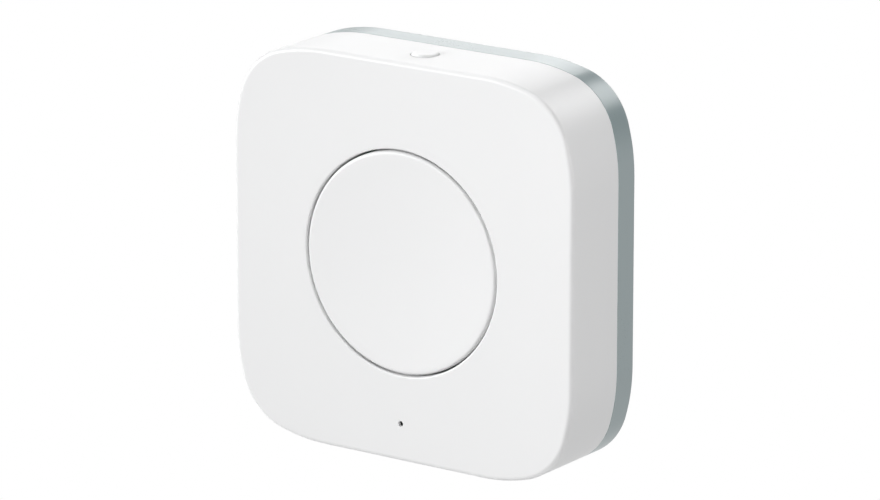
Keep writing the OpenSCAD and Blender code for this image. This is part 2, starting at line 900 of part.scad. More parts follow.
// Strip that runs from the board down beside the cell
module positive_contact() {
    leg_x = -cell_r - slide_gap;
    color("silver") place() translate([0, contact_w / 2, 0])
        rotate([90, 0, 0])
            linear_extrude(contact_w)
                polygon([
                    [leg_x, board_z], [-chamber_out, board_z], [-chamber_out, board_z - contact_t],
                    [leg_x - contact_t, board_z - contact_t],
                    [leg_x - contact_t, cell_z + contact_foot_gap],
                    [leg_x, cell_z + contact_foot_gap]
                ]);
}

// Steel cup of the coin cell, its positive pole
module cell_can() {
    color("silver") place() translate([0, 0, cell_z]) rotate_extrude() difference() {
        square([cell_r, cell_t - cell_rim]);
        translate([cell_r, 0]) mirror([0, 1]) rounding(cell_edge_r);
        translate([-eps, cell_skin]) square([cell_r - cell_skin + eps, cell_t]);
    }
}

// Ring seal and filling between the two poles
module cell_seal() {
    color("black") place() translate([0, 0, cell_z])
        disc(cell_r - cell_skin, cell_skin, cell_t - cell_rim);
}

// Steel lid of the coin cell, its negative pole
module cell_cap() {
    color("silver") place() translate([0, 0, cell_z]) disc(cell_cap_r, cell_t - cell_rim, cell_t);
}

front_case();
button_cap();
reset_button();
light_pipe();
rear_case();
battery_door();
adhesive_pad();
circuit_board();
board_screws();
main_switch_base();
main_switch_cover();
main_switch_dome();
main_switch_plunger();
main_switch_terminals();
reset_switch_base();
reset_switch_cover();
reset_switch_dome();
reset_switch_plunger();
reset_switch_terminals();
radio_chip();
crystal();
antenna_trace();
status_led();
capacitors();
resistors();
bulk_capacitor();
negative_contact();
positive_contact();
cell_can();
cell_seal();
cell_cap();
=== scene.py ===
"""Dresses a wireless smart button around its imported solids.

The shells, the buttons, the battery door, the tape ring and the switches' snap domes are rebuilt as
fine meshes on the outlines of the solids they stand for. So are the board's screws and its chip,
and pins, end caps and vias are added. The other components keep their solids and get finishes.
Sizes are in millimetres until a mesh is made, and the scene is in metres.
"""

import json
import logging
import math
from dataclasses import dataclass
from enum import Enum
from typing import Any, Sequence

import bmesh
import bpy
from mathutils import Matrix, Vector

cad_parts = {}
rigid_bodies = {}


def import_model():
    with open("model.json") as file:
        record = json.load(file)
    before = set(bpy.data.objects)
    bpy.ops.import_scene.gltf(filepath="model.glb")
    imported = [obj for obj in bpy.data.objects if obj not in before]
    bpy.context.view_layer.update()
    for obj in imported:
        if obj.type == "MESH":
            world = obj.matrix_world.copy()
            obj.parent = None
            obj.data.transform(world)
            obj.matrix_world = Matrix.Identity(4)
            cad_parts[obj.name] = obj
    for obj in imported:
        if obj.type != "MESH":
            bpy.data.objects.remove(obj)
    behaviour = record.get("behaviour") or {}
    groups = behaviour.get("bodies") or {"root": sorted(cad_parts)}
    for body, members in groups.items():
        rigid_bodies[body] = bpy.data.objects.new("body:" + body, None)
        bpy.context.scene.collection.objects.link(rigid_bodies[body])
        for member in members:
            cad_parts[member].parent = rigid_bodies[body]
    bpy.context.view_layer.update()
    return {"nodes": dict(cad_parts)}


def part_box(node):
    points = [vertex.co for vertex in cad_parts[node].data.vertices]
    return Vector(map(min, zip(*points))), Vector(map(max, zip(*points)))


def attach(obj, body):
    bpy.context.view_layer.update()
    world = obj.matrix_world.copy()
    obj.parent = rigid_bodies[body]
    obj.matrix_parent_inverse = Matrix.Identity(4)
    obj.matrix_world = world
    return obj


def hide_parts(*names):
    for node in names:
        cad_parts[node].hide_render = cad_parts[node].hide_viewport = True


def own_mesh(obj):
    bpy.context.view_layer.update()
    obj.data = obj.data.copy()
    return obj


MM = 0.001
RIGHT_ANGLE = math.pi / 2

# Distance in metres under which two points are one, and angle in degrees over which an edge is sharp
WELD = 1e-7
SHARP_EDGE = 28.0

# Middle of a noise or a pattern that runs from 0 to 1
MIDDLE = 0.5
PURE_WHITE = (1.0, 1.0, 1.0, 1.0)

# Signs of u and v in the four corners of the casing
CORNER_SIGNS = ((-1, -1), (-1, 1), (1, -1), (1, 1))

Point = tuple[float, float]
Spot = tuple[float, float, float]
Loop = list[Spot]
Profile = list[Point]
Colour = tuple[float, float, float]
Sockets = dict[str | int, Any]
Place = tuple[Vector, float, Spot]

log = logging.getLogger("smart_button")


class Ends(Enum):
    """How the ends of a loft are closed."""

    JOINED = "the last loop joins the first"
    CAPPED = "a flat face closes each end"


class Merge(Enum):
    """How a second solid changes the first."""

    ADD = "UNION"
    CARVE = "DIFFERENCE"


class Axis(Enum):
    """Axis of a round piece."""

    DEPTH = "from the front face to the rear face"
    UP = "from the bottom side to the top side"


# Node trees


class Graph:
    """Node tree that is being filled, of a material, the world or Geometry Nodes."""

    def __init__(self, tree: bpy.types.NodeTree) -> None:
        """Keeps the tree."""
        self.tree = tree

    @classmethod
    def empty(cls, owner: bpy.types.Material | bpy.types.World) -> "Graph":
        """Empties the node tree of a material or a world.

        Args:
            owner: Material or world.

        Returns:
            Its empty tree.
        """
        owner.use_nodes = True
        owner.node_tree.nodes.clear()
        return cls(owner.node_tree)

    def node(self, kind: str, sockets: Sockets | None = None, **settings: Any) -> bpy.types.Node:
        """Adds a node.

        Args:
            kind: Type of the node.
            sockets: Values or links of its input sockets.
            settings: Its properties, which are set first.

        Returns:
            The new node.
        """
        made = self.tree.nodes.new(kind)
        for key, value in settings.items():
            setattr(made, key, value)
        self.feed(made, sockets or {})
        return made

    def feed(self, node: bpy.types.Node, sockets: Sockets) -> None:
        """Sets or links a node's input sockets.

        Args:
            node: Node that gets the values.
            sockets: Values or links by socket name or number.
        """
        for key, value in sockets.items():
            if isinstance(value, Signal):
                self.tree.links.new(value.socket, node.inputs[key])
            else:
                node.inputs[key].default_value = value

    def read(
        self, kind: str, sockets: Sockets | None = None, output: str | int = 0, **settings: Any
    ) -> "Signal":
        """Adds a node and gives one of its outputs.

        Args:
            kind: Type of the node.
            sockets: Values or links of its input sockets.
            output: Name or number of the output.
            settings: Its properties.

        Returns:
            The output as a signal.
        """
        return Signal(self, self.node(kind, sockets, **settings).outputs[output])

    def blend(self, share: "Signal", first: Colour, second: Colour) -> "Signal":
        """Mixes two colours.

        Args:
            share: How much of the second colour shows.
            first: Colour at share 0.
            second: Colour at share 1.

        Returns:
            The mixed colour.
        """
        # The Mix node has inputs of one name for each data type, so its colours go by number
        factor, colour_a, colour_b, result = 0, 6, 7, 2
        sockets = {factor: share, colour_a: (*first, 1.0), colour_b: (*second, 1.0)}
        return self.read("ShaderNodeMix", sockets, result, data_type="RGBA")


class Signal:
    """Output socket whose arithmetic adds Math nodes to its tree."""

    def __init__(self, graph: Graph, socket: bpy.types.NodeSocket) -> None:
        """Keeps the socket and the graph that it belongs to."""
        self.graph = graph
        self.socket = socket

    def _math(self, operation: str, *values: "Signal | float") -> "Signal":
        """Adds one Math node with its inputs in order."""
        return self.graph.read("ShaderNodeMath", dict(enumerate(values)), operation=operation)

    def __add__(self, other: "Signal | float") -> "Signal":
        """Adds a value."""
        return self._math("ADD", self, other)

    def __sub__(self, other: "Signal | float") -> "Signal":
        """Subtracts a value."""
        return self._math("SUBTRACT", self, other)

    def __rsub__(self, other: float) -> "Signal":
        """Is subtracted from a value."""
        return self._math("SUBTRACT", other, self)

    def __mul__(self, other: "Signal | float") -> "Signal":
        """Multiplies by a value."""
        return self._math("MULTIPLY", self, other)

    def __gt__(self, other: "Signal | float") -> "Signal":
        """Is 1 where the signal is above a value."""
        return self._math("GREATER_THAN", self, other)

    def __or__(self, other: "Signal") -> "Signal":
        """Is the larger of two signals."""
        return self._math("MAXIMUM", self, other)


# Finishes


@dataclass(frozen=True)
class Finish:
    """Finish with a colour, a roughness and a fine grain.

    The grain is the size of the finest marks, the relief is their height and the patch is the size of
    slow changes, all in millimetres. The drift is the share of the colour that its darkest spots lose.
    The two rough values are how much the marks and the patches change the roughness.
    """

    name: str
    colour: Colour
    roughness: float
    grain: float = 0.12
    relief: float = 0.003
    drift: float = 0.03
    metallic: float = 0.0
    constants: tuple[tuple[str, Any], ...] = ()
    patch: float = 9.0
    fine_rough: float = 0.06
    patch_rough: float = 0.05

    @property
    def deep(self) -> Colour:
        """Colour of the darkest spots."""
        return tuple(c * (1 - self.drift) for c in self.colour)

    def make(self) -> bpy.types.Material:
        """Makes the material.

        Returns:
            The finished material.
        """
        material = bpy.data.materials.new(self.name)
        graph = Graph.empty(material)
        constants = {"Metallic": self.metallic, **dict(self.constants)}
        shader = graph.node("ShaderNodeBsdfPrincipled", constants)
        graph.node("ShaderNodeOutputMaterial", {"Surface": Signal(graph, shader.outputs[0])})
        graph.feed(shader, self._looks(graph))
        return material

    def _looks(self, graph: Graph) -> Sockets:
        """Gives the colour, the roughness and the grain.

        Args:
            graph: Material's nodes.

        Returns:
            Links of the shader's sockets.
        """
        fine = self._marks(graph)
        slow = self._noise(graph, self.patch)
        rough = (fine - MIDDLE) * self.fine_rough + (slow - MIDDLE) * self.patch_rough
        return {
            "Base Color": graph.blend(fine if self.metallic else slow, self.deep, self.colour),
            "Roughness": rough + self.roughness,
            "Normal": self._bump(graph, fine),
        }

    def _marks(self, graph: Graph) -> Signal:
        """Gives the finest marks."""
        return self._noise(graph, self.grain)

    def _bump(self, graph: Graph, height: Signal) -> Signal:
        """Gives the normal of a relief whose height runs from 0 to 1."""
        sockets = {"Distance": self.relief * MM, "Strength": 1.0, "Height": height}
        return graph.read("ShaderNodeBump", sockets)

    @staticmethod
    def _noise(graph: Graph, size: float, stretch: Spot = (1.0, 1.0, 1.0)) -> Signal:
        """Adds a noise on object coordinates.

        Args:
            graph: Material's nodes.
            size: Size of its marks in millimetres.
            stretch: How much denser the marks are along x, y and z.

        Returns:
            The noise, from 0 to 1.
        """
        place = graph.read("ShaderNodeTexCoord", output="Object")
        scaled = graph.read("ShaderNodeMapping", {"Vector": place, "Scale": stretch})
        sockets = {"Vector": scaled, "Scale": 1 / (size * MM), "Detail": 2.0}
        return graph.read("ShaderNodeTexNoise", sockets)


@dataclass(frozen=True)
class BrushedMetal(Finish):
    """Metal with fine lines along one direction, each of them several grains long."""

    drift: float = 0.09
    metallic: float = 1.0
    patch: float = 4.0
    fine_rough: float = 0.14
    patch_rough: float = 0.10
    line_grains: float = 8.0
    lines: Spot = (1.0, 14.0, 14.0)

    def _marks(self, graph: Graph) -> Signal:
        """Gives the lines."""
        return self._noise(graph, self.grain * self.line_grains, self.lines)


@dataclass(frozen=True)
class FoamCells(Finish):
    """Closed-cell foam with a soft skin, whose grain is the size of its cells."""

    drift: float = 0.2
    patch: float = 5.0
    patch_rough: float = 0.08
    cell_shade: float = 0.9

    def _looks(self, graph: Graph) -> Sockets:
        """Gives the cells' colour and relief, and a slowly changing roughness.

        Args:
            graph: Material's nodes.

        Returns:
            Links of the shader's sockets.
        """
        place = graph.read("ShaderNodeTexCoord", output="Object")
        sockets = {"Vector": place, "Scale": 1 / (self.grain * MM)}
        cells = graph.read("ShaderNodeTexVoronoi", sockets, "Distance", feature="F1")
        slow = self._noise(graph, self.patch)
        return {
            "Base Color": graph.blend(cells * self.cell_shade, self.colour, self.deep),
            "Roughness": (slow - MIDDLE) * self.patch_rough + self.roughness,
            "Normal": self._bump(graph, 1.0 - cells),
        }


@dataclass(frozen=True)
class SolderMask(Finish):
    """Board lacquer with patches of copper tracks under it, and fine flecks.

    The band period is that of the Wave node at scale 1.
    """

    grain: float = 0.5
    patch: float = 6.0
    fine_rough: float = 0.12
    track: Colour = (0.035, 0.22, 0.085)
    pitches: Point = (1.3, 1.7)
    band_period: float = 0.314
    band_level: float = 0.86
    patch_level: float = 0.52

    def _looks(self, graph: Graph) -> Sockets:
        """Gives the tracks' colour and relief, and a flecked roughness.

        Args:
            graph: Material's nodes.

        Returns:
            Links of the shader's sockets.
        """
        place = graph.read("ShaderNodeTexCoord", output="Object")
        flat = graph.read("ShaderNodeMapping", {"Vector": place, "Rotation": (RIGHT_ANGLE, 0.0, 0.0)})
        along, across = self.pitches
        copper = self._tracks(graph, flat, 0.0, along) | self._tracks(graph, flat, RIGHT_ANGLE, across)
        return {
            "Base Color": graph.blend(copper, self.colour, self.track),
            "Roughness": (self._marks(graph) - MIDDLE) * self.fine_rough + self.roughness,
            "Normal": self._bump(graph, copper),
        }

    def _tracks(self, graph: Graph, flat: Signal, turn: float, pitch: float) -> Signal:
        """Gives patches of parallel tracks.

        Args:
            graph: Material's nodes.
            flat: Coordinates in the board's plane.
            turn: Direction of the tracks in radians.
            pitch: Distance between them in millimetres.

        Returns:
            1 on a track and 0 beside it.
        """
        place = graph.read("ShaderNodeMapping", {"Vector": flat, "Rotation": (0.0, 0.0, turn)})
        sockets = {"Vector": place, "Scale": self.band_period / (pitch * MM)}
        bands = graph.read("ShaderNodeTexWave", sockets, "Fac", wave_type="BANDS")
        patches = self._noise(graph, self.patch + pitch) > self.patch_level
        return (bands > self.band_level) * patches


class Palette:
    """Every finish of the smart button, made once."""

    recipes: tuple[Finish, ...] = (
        Finish("white_satin", (0.845, 0.847, 0.85), 0.42, relief=0.0010, drift=0.012),
        Finish(
            "grey_green_matt",
            (0.298, 0.362, 0.372),
            0.29,
            grain=0.16,
            relief=0.0020,
            drift=0.04,
            constants=(("Specular IOR Level", 0.75),),
        ),
        FoamCells("tape_foam", (0.62, 0.63, 0.62), 0.85, grain=0.22, relief=0.035),
        # Light pipe: a smoked tint made nearly black as painted shade, standing in for the shade inside
        # the indicator's pinhole
        Finish(
            "smoked_clear",
            (0.030, 0.031, 0.034),
            0.14,
            relief=0.0004,
            constants=(("Transmission Weight", 0.35), ("IOR", 1.58)),
        ),
        SolderMask("green_lacquer", (0.012, 0.105, 0.040), 0.34, relief=0.02),
        BrushedMetal("bright_steel", (0.62, 0.61, 0.59), 0.26, relief=0.0015),
        BrushedMetal("tinned_copper", (0.72, 0.70, 0.66), 0.34, relief=0.004),
        BrushedMetal("gold_plate", (0.83, 0.60, 0.26), 0.30, relief=0.002),
        BrushedMetal("spring_bronze", (0.74, 0.53, 0.30), 0.28, relief=0.0015),
        Finish("black_mould", (0.022, 0.022, 0.024), 0.52, grain=0.10, relief=0.004, drift=0.2),
        Finish("ivory_mould", (0.74, 0.70, 0.58), 0.44, relief=0.002),
        Finish("lamp_resin", (0.80, 0.74, 0.48), 0.22, relief=0.001, constants=(("Coat Weight", 0.5),)),
        Finish("fired_ceramic", (0.42, 0.30, 0.20), 0.60, grain=0.08, relief=0.004, drift=0.12),
        Finish("tantalum_case", (0.80, 0.50, 0.09), 0.40, relief=0.003, drift=0.06),
    )

    def __init__(self) -> None:
        """Makes the materials."""
        self._made = {recipe.name: recipe.make() for recipe in self.recipes}

    def __getitem__(self, name: str) -> bpy.types.Material:
        """Gives one material by its name."""
        return self._made[name]


# Shapes


@dataclass(frozen=True)
class Stand:
    """Places face coordinates: u to the right, v up from the button's axis, depth behind the face."""

    front: float
    middle: float

    def at(self, u: float, v: float, depth: float) -> Vector:
        """Gives the scene's point of a spot."""
        return Vector((u, self.front + depth, self.middle + v)) * MM

    def spot(self, point: Vector) -> Spot:
        """Gives a point of the scene in face coordinates."""
        return point.x / MM, point.z / MM - self.middle, point.y / MM - self.front


@dataclass(frozen=True)
class CasingOutline:
    """Rounded square: straight sides that lead through wide arcs into a tight arc at each corner."""

    half: float
    tight_r: float = 7.6
    wide_r: float = 21.0
    wide_sin: float = 0.28
    wide_cos: float = 0.96
    side_steps: int = 12
    wide_steps: int = 8
    tight_steps: int = 24

    @property
    def wide_c(self) -> float:
        """Distance of a wide arc's centre from the middle, across its side."""
        return self.half - self.wide_r

    @property
    def tight_c(self) -> float:
        """Distance of a tight arc's centre from the middle, along both sides."""
        return self.wide_c + (self.wide_r - self.tight_r) * self.wide_cos

    @property
    def side_half(self) -> float:
        """Half the length of a straight side."""
        return self.tight_c - (self.wide_r - self.tight_r) * self.wide_sin

    def _quarter(self) -> list[Spot]:
        """Walks from the middle of the right side to the middle of the top side.

        Returns:
            Spots as u, v and the direction of the outward normal.
        """
        turn = math.asin(self.wide_sin)
        arcs = (
            (self.wide_c, self.side_half, self.wide_r, 0.0, turn, self.wide_steps),
            (self.tight_c, self.tight_c, self.tight_r, turn, RIGHT_ANGLE - turn, self.tight_steps),
            (self.side_half, self.wide_c, self.wide_r, RIGHT_ANGLE - turn, RIGHT_ANGLE, self.wide_steps),
        )
        along = [self.side_half * i / self.side_steps for i in range(self.side_steps)]
        spots = [(self.half, v, 0.0) for v in along]
        for u, v, radius, start, end, steps in arcs:
            for i in range(steps):
                a = start + (end - start) * i / steps
                spots.append((u + radius * math.cos(a), v + radius * math.sin(a), a))
        return spots + [(self.side_half - u, self.half, RIGHT_ANGLE) for u in along]

    def walk(self) -> list[Spot]:
        """Walks all round the outline.

        Returns:
            Spots as u, v and the direction of the outward normal.
        """
        spots = []
        for k in range(4):
            turn = k * RIGHT_ANGLE
            spots += [(*turned(u, v, turn), a + turn) for u, v, a in self._quarter()]
        return spots

    def loop(self, inset: float, depth: float) -> Loop:
        """Gives the outline moved inwards, at a depth."""
        return [(u - inset * math.cos(a), v - inset * math.sin(a), depth) for u, v, a in self.walk()]

    def round_loop(self, radius: float, depth: float) -> Loop:
        """Gives a circle whose spots face those of the outline, at a depth."""
        angles = [math.atan2(v, u) for u, v, _ in self.walk()]
        return [(radius * math.cos(a), radius * math.sin(a), depth) for a in angles]


def turned(u: float, v: float, angle: float) -> Point:
    """Turns a point about the button's axis, by an angle in radians."""
    c, s = math.cos(angle), math.sin(angle)
    return u * c - v * s, u * s + v * c


def rounding(steps: int = 8) -> list[Point]:
    """Gives the sine and cosine of evenly spaced angles from 0 to 90 degrees."""
    angles = [RIGHT_ANGLE * i / steps for i in range(steps + 1)]
    return [(math.sin(a), math.cos(a)) for a in angles]


def ball_radius(rim: float, height: float) -> float:
    """Gives the radius of the ball whose cap has this rim and this height."""
    return (rim**2 + height**2) / (2 * height)


def placed(name: str, data: Any) -> bpy.types.Object:
    """Adds an object to the scene.

    Args:
        name: Its name.
        data: Its mesh, light or camera.

    Returns:
        The object.
    """
    made = bpy.data.objects.new(name, data)
    bpy.context.scene.collection.objects.link(made)
    return made


class Blank:
    """Closed mesh that is being built in face coordinates."""

    sector_steps = 16

    def __init__(self, stand: Stand) -> None:
        """Starts an empty mesh."""
        self.stand = stand
        self.mesh = bmesh.new()

    def loft(self, loops: Sequence[Loop], ends: Ends = Ends.CAPPED) -> "Blank":
        """Skins a row of loops that have the same number of spots.

        Args:
            loops: Loops in order.
            ends: How the row's ends are closed.

        Returns:
            This blank.
        """
        rows = [[self.mesh.verts.new(self.stand.at(*spot)) for spot in loop] for loop in loops]
        pairs = list(zip(rows, rows[1:]))
        if ends is Ends.JOINED:
            pairs.append((rows[-1], rows[0]))
        else:
            self.mesh.faces.new(rows[0])
            self.mesh.faces.new(rows[-1])
        for low, high in pairs:
            for i, spot in enumerate(low):
                j = (i + 1) % len(low)
                self.mesh.faces.new((spot, low[j], high[j], high[i]))
        return self

    def block(self, low: Spot, high: Spot, turn: float = 0.0) -> "Blank":
        """Adds a block between two corners, turned about the button's axis.

        Args:
            low: Corner with the lowest u, v and depth.
            high: Corner with the highest.
            turn: Angle in degrees.

        Returns:
            This blank.
        """
        flat = ((low[0], low[1]), (high[0], low[1]), (high[0], high[1]), (low[0], high[1]))
        around = [turned(u, v, math.radians(turn)) for u, v in flat]
        return self.loft([[(u, v, d) for u, v in around] for d in (low[2], high[2])])

    def rod(self, centre: Point, rings: Profile, axis: Axis = Axis.DEPTH, steps: int = 64) -> "Blank":
        """Adds a round rod whose radius may change along it.

        Args:
            centre: Place of its axis: u and v, or u and depth for an upright rod.
            rings: Radius and height of each ring, in order.
            axis: Direction of its axis.
            steps: Spots round it.

        Returns:
            This blank.
        """
        angles = [2 * math.pi * i / steps for i in range(steps)]
        deep = axis is Axis.DEPTH
        loops = []
        for radius, height in rings:
            ring = [(centre[0] + radius * math.cos(a), centre[1] + radius * math.sin(a)) for a in angles]
            loops.append([(u, w, height) if deep else (u, height, w) for u, w in ring])
        return self.loft(loops)

    def sector(self, radii: Point, depths: Point, middle: float, span: float) -> "Blank":
        """Adds part of a ring.

        Args:
            radii: Inner and outer radius.
            depths: Nearest and furthest depth.
            middle: Angle of its middle in degrees.
            span: Angle that it spans in degrees.

        Returns:
            This blank.
        """
        (inner, outer), (near, far) = radii, depths
        section = ((inner, near), (outer, near), (outer, far), (inner, far))
        loops = []
        for i in range(self.sector_steps + 1):
            a = math.radians(middle - span / 2 + span * i / self.sector_steps)
            loops.append([(r * math.cos(a), r * math.sin(a), d) for r, d in section])
        return self.loft(loops)

    def prism(self, section: Profile, low: float, high: float) -> "Blank":
        """Adds a prism that runs upwards, with a section of u and depth."""
        return self.loft([[(u, v, d) for u, d in section] for v in (low, high)])

    def solid(self, name: str, finish: bpy.types.Material | None = None) -> bpy.types.Object:
        """Makes the object.

        Args:
            name: Its name.
            finish: Its material, if it is more than a tool.

        Returns:
            The object.
        """
        bmesh.ops.recalc_face_normals(self.mesh, faces=self.mesh.faces)
        mesh = bpy.data.meshes.new(name)
        self.mesh.to_mesh(mesh)
        self.mesh.free()
        if finish:
            mesh.materials.append(finish)
        return placed(name, mesh)


def settle(piece: bpy.types.Object) -> None:
    """Turns a piece's evaluated shape into its plain mesh and takes its modifiers off.

    Args:
        piece: Object with modifiers.
    """
    state = bpy.context.evaluated_depsgraph_get()
    mesh = bpy.data.meshes.new_from_object(piece.evaluated_get(state))
    piece.modifiers.clear()
    piece.data = mesh
    mesh.name = piece.name


def merge(piece: bpy.types.Object, tool: bpy.types.Object, how: Merge) -> None:
    """Adds a tool's solid to a piece, or carves it out, and removes the tool.

    Args:
        piece: Object that changes.
        tool: Closed solid.
        how: What the tool does.
    """
    change = piece.modifiers.new(how.name, "BOOLEAN")
    change.operation = how.value
    change.solver = "EXACT"
    change.use_self = True
    change.object = tool
    settle(piece)
    bpy.data.objects.remove(tool)


def flat_ends(piece: bpy.types.Object, pole_faces: int = 16, slack: float = 1e-6) -> None:
    """Makes each flat round end of a turned piece one face.

    Args:
        piece: Turned object.
        pole_faces: A point with more faces than this is an end's middle.
        slack: How far the cosine between a flat end's normals may be from 1.
    """
    work = bmesh.new()
    work.from_mesh(piece.data)
    work.normal_update()
    flat = []
    for pole in [v for v in work.verts if len(v.link_faces) > pole_faces]:
        way = pole.link_faces[0].normal
        if all(face.normal.dot(way) > 1 - slack for face in pole.link_faces):
            flat.append(pole)
    bmesh.ops.dissolve_verts(work, verts=flat)
    work.to_mesh(piece.data)
    work.free()


def smooth(piece: bpy.types.Object, finish: bpy.types.Material) -> bpy.types.Object:
    """Cleans a finished mesh, shades it and leaves it one material.

    Args:
        piece: Finished object.
        finish: Its material.

    Returns:
        The same object.
    """
    work = bmesh.new()
    work.from_mesh(piece.data)
    bmesh.ops.remove_doubles(work, verts=work.verts, dist=WELD)
    bmesh.ops.dissolve_degenerate(work, edges=work.edges, dist=WELD)
    bmesh.ops.recalc_face_normals(work, faces=work.faces)
    for face in work.faces:
        face.material_index = 0
        face.smooth = True
    work.to_mesh(piece.data)
    work.free()
    piece.data.materials.clear()
    piece.data.materials.append(finish)
    piece.data.set_sharp_from_angle(angle=math.radians(SHARP_EDGE))
    return piece


def islands(piece: bpy.types.Object) -> list[tuple[Vector, Vector]]:
    """Finds the boxes of a node's separate solids.

    Args:
        piece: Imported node.

    Returns:
        Lowest and highest corner of each solid.
    """
    work = bmesh.new()
    work.from_mesh(piece.data)
    bmesh.ops.remove_doubles(work, verts=work.verts, dist=WELD)
    left, boxes = set(work.verts), []
    while left:
        found, edge = set(), [left.pop()]
        while edge:
            vert = edge.pop()
            found.add(vert)
            fresh = {link.other_vert(vert) for link in vert.link_edges} & left
            left -= fresh
            edge += fresh
        low = Vector([min(v.co[k] for v in found) for k in range(3)])
        high = Vector([max(v.co[k] for v in found) for k in range(3)])
        boxes.append((low, high))
    work.free()
    return sorted(boxes, key=lambda box: tuple(box[0]))


# Geometry Nodes


class NodeShape:
    """Geometry Nodes tree with named inputs that makes a shape from an object's own mesh."""

    name = "shape"
    sockets: tuple[tuple[str, str], ...] = ()

    def __init__(self) -> None:
        """Builds the tree."""
        self.tree = bpy.data.node_groups.new(self.name, "GeometryNodeTree")
        self.ids: dict[str, str] = {}
        face = self.tree.interface
        face.new_socket("Geometry", in_out="INPUT", socket_type="NodeSocketGeometry")
        for name, kind in (*self.sockets, ("Finish", "NodeSocketMaterial")):
            self.ids[name] = face.new_socket(name, in_out="INPUT", socket_type=kind).identifier
        face.new_socket("Geometry", in_out="OUTPUT", socket_type="NodeSocketGeometry")
        graph = Graph(self.tree)
        given = graph.node("NodeGroupInput")
        inputs = {s.name: Signal(graph, s) for s in given.outputs if s.name}
        real = graph.read("GeometryNodeRealizeInstances", {"Geometry": self._shape(graph, inputs)})
        sockets = {"Geometry": real, "Material": inputs["Finish"]}
        dressed = graph.read("GeometryNodeSetMaterial", sockets)
        graph.node("NodeGroupOutput", {"Geometry": dressed})

    def _shape(self, graph: Graph, inputs: dict[str, Signal]) -> Signal:
        """Adds the nodes that make the shape, in a tree of this kind."""
        raise NotImplementedError

    def run(self, piece: bpy.types.Object, **values: Any) -> bpy.types.Object:
        """Gives an object the tree's shape as its plain mesh.

        Args:
            piece: Object whose mesh the tree starts from.
            values: Tree's inputs by name.

        Returns:
            The same object.
        """
        change = piece.modifiers.new(self.name, "NODES")
        change.node_group = self.tree
        for name, value in values.items():
            change[self.ids[name]] = value
        settle(piece)
        return piece


class TurnedShape(NodeShape):
    """Turns a profile line about an upright axis, and then leans and moves the result."""

    name = "turned_shape"
    sockets = (
        ("Segments", "NodeSocketInt"),
        ("Centre", "NodeSocketVector"),
        ("Lean", "NodeSocketVector"),
    )
    spindle = 1.0
    weld = 1e-6

    def _shape(self, graph: Graph, inputs: dict[str, Signal]) -> Signal:
        """Sweeps the profile round a circle and welds it where it meets the axis.

        Args:
            graph: Tree's nodes.
            inputs: Tree's inputs by name.

        Returns:
            The turned shape.
        """
        ring = {"Resolution": inputs["Segments"], "Radius": self.spindle * MM}
        circle = graph.read("GeometryNodeCurvePrimitiveCircle", ring)
        level = graph.read("GeometryNodeSetCurveNormal", {"Curve": circle}, mode="Z_UP")
        line = graph.read("GeometryNodeMeshToCurve", {"Mesh": inputs["Geometry"]})
        swept = graph.read("GeometryNodeCurveToMesh", {"Curve": level, "Profile Curve": line})
        joined = {"Geometry": swept, "Distance": self.weld}
        welded = graph.read("GeometryNodeMergeByDistance", joined)
        move = {"Geometry": welded, "Translation": inputs["Centre"], "Rotation": inputs["Lean"]}
        return graph.read("GeometryNodeTransform", move)

    def turn(
        self,
        name: str,
        profile: Profile,
        finish: bpy.types.Material,
        centre: Vector,
        axis: Axis = Axis.DEPTH,
        closed: bool = False,
        segments: int = 256,
    ) -> bpy.types.Object:
        """Makes a turned piece.

        Args:
            name: Its name.
            profile: Radius and height of each point, in millimetres.
            finish: Its material.
            centre: Point where its height is 0.
            axis: Direction of its axis.
            closed: Whether the profile is a closed line, as of a ring.
            segments: Facets round it.

        Returns:
            The piece.
        """
        mesh = bpy.data.meshes.new(name)
        points = [((r - self.spindle) * MM, -h * MM, 0.0) for r, h in profile]
        lines = [(i, i + 1) for i in range(len(points) - 1)] + [(len(points) - 1, 0)] * closed
        mesh.from_pydata(points, lines, [])
        piece = placed(name, mesh)
        lean = (-RIGHT_ANGLE, 0.0, 0.0) if axis is Axis.DEPTH else (0.0, 0.0, 0.0)
        return self.run(piece, Segments=segments, Centre=tuple(centre), Lean=lean, Finish=finish)


class RepeatedShape(NodeShape):
    """Repeats a pattern on points, with a turn and a size for each of them."""

    name = "repeated_shape"
    sockets = (("Pattern", "NodeSocketObject"),)

    def _shape(self, graph: Graph, inputs: dict[str, Signal]) -> Signal:
        """Puts the pattern on each point.

        Args:
            graph: Tree's nodes.
            inputs: Tree's inputs by name.

        Returns:
            The patterns.
        """
        named, vector = "GeometryNodeInputNamedAttribute", "FLOAT_VECTOR"
        turn = graph.read(named, {"Name": "turn"}, data_type=vector)
        size = graph.read(named, {"Name": "size"}, data_type=vector)
        given = {"Object": inputs["Pattern"], "As Instance": True}
        pattern = graph.read("GeometryNodeObjectInfo", given, "Geometry", transform_space="ORIGINAL")
        angles = graph.read("FunctionNodeEulerToRotation", {"Euler": turn})
        sockets = {"Points": inputs["Geometry"], "Instance": pattern, "Rotation": angles, "Scale": size}
        return graph.read("GeometryNodeInstanceOnPoints", sockets)

    def repeat(
        self,
        name: str,
        pattern: bpy.types.Object,
        places: Sequence[Place],
        finish: bpy.types.Material,
    ) -> bpy.types.Object:
        """Makes a piece of repeated patterns and removes the pattern.

        Args:
            name: Its name.
            pattern: Object at the origin that is repeated.
            places: Point, turn about the depth axis in degrees and size of each pattern.
            finish: Its material.

        Returns:
            The piece.
        """
        mesh = bpy.data.meshes.new(name)
        mesh.from_pydata([tuple(point) for point, _, _ in places], [], [])
        turn = mesh.attributes.new("turn", "FLOAT_VECTOR", "POINT")
        size = mesh.attributes.new("size", "FLOAT_VECTOR", "POINT")
        for i, (_, angle, scale) in enumerate(places):
            turn.data[i].vector = (0.0, math.radians(angle), 0.0)
            size.data[i].vector = scale
        piece = self.run(placed(name, mesh), Pattern=pattern, Finish=finish)
        bpy.data.objects.remove(pattern)
        return smooth(piece, finish)


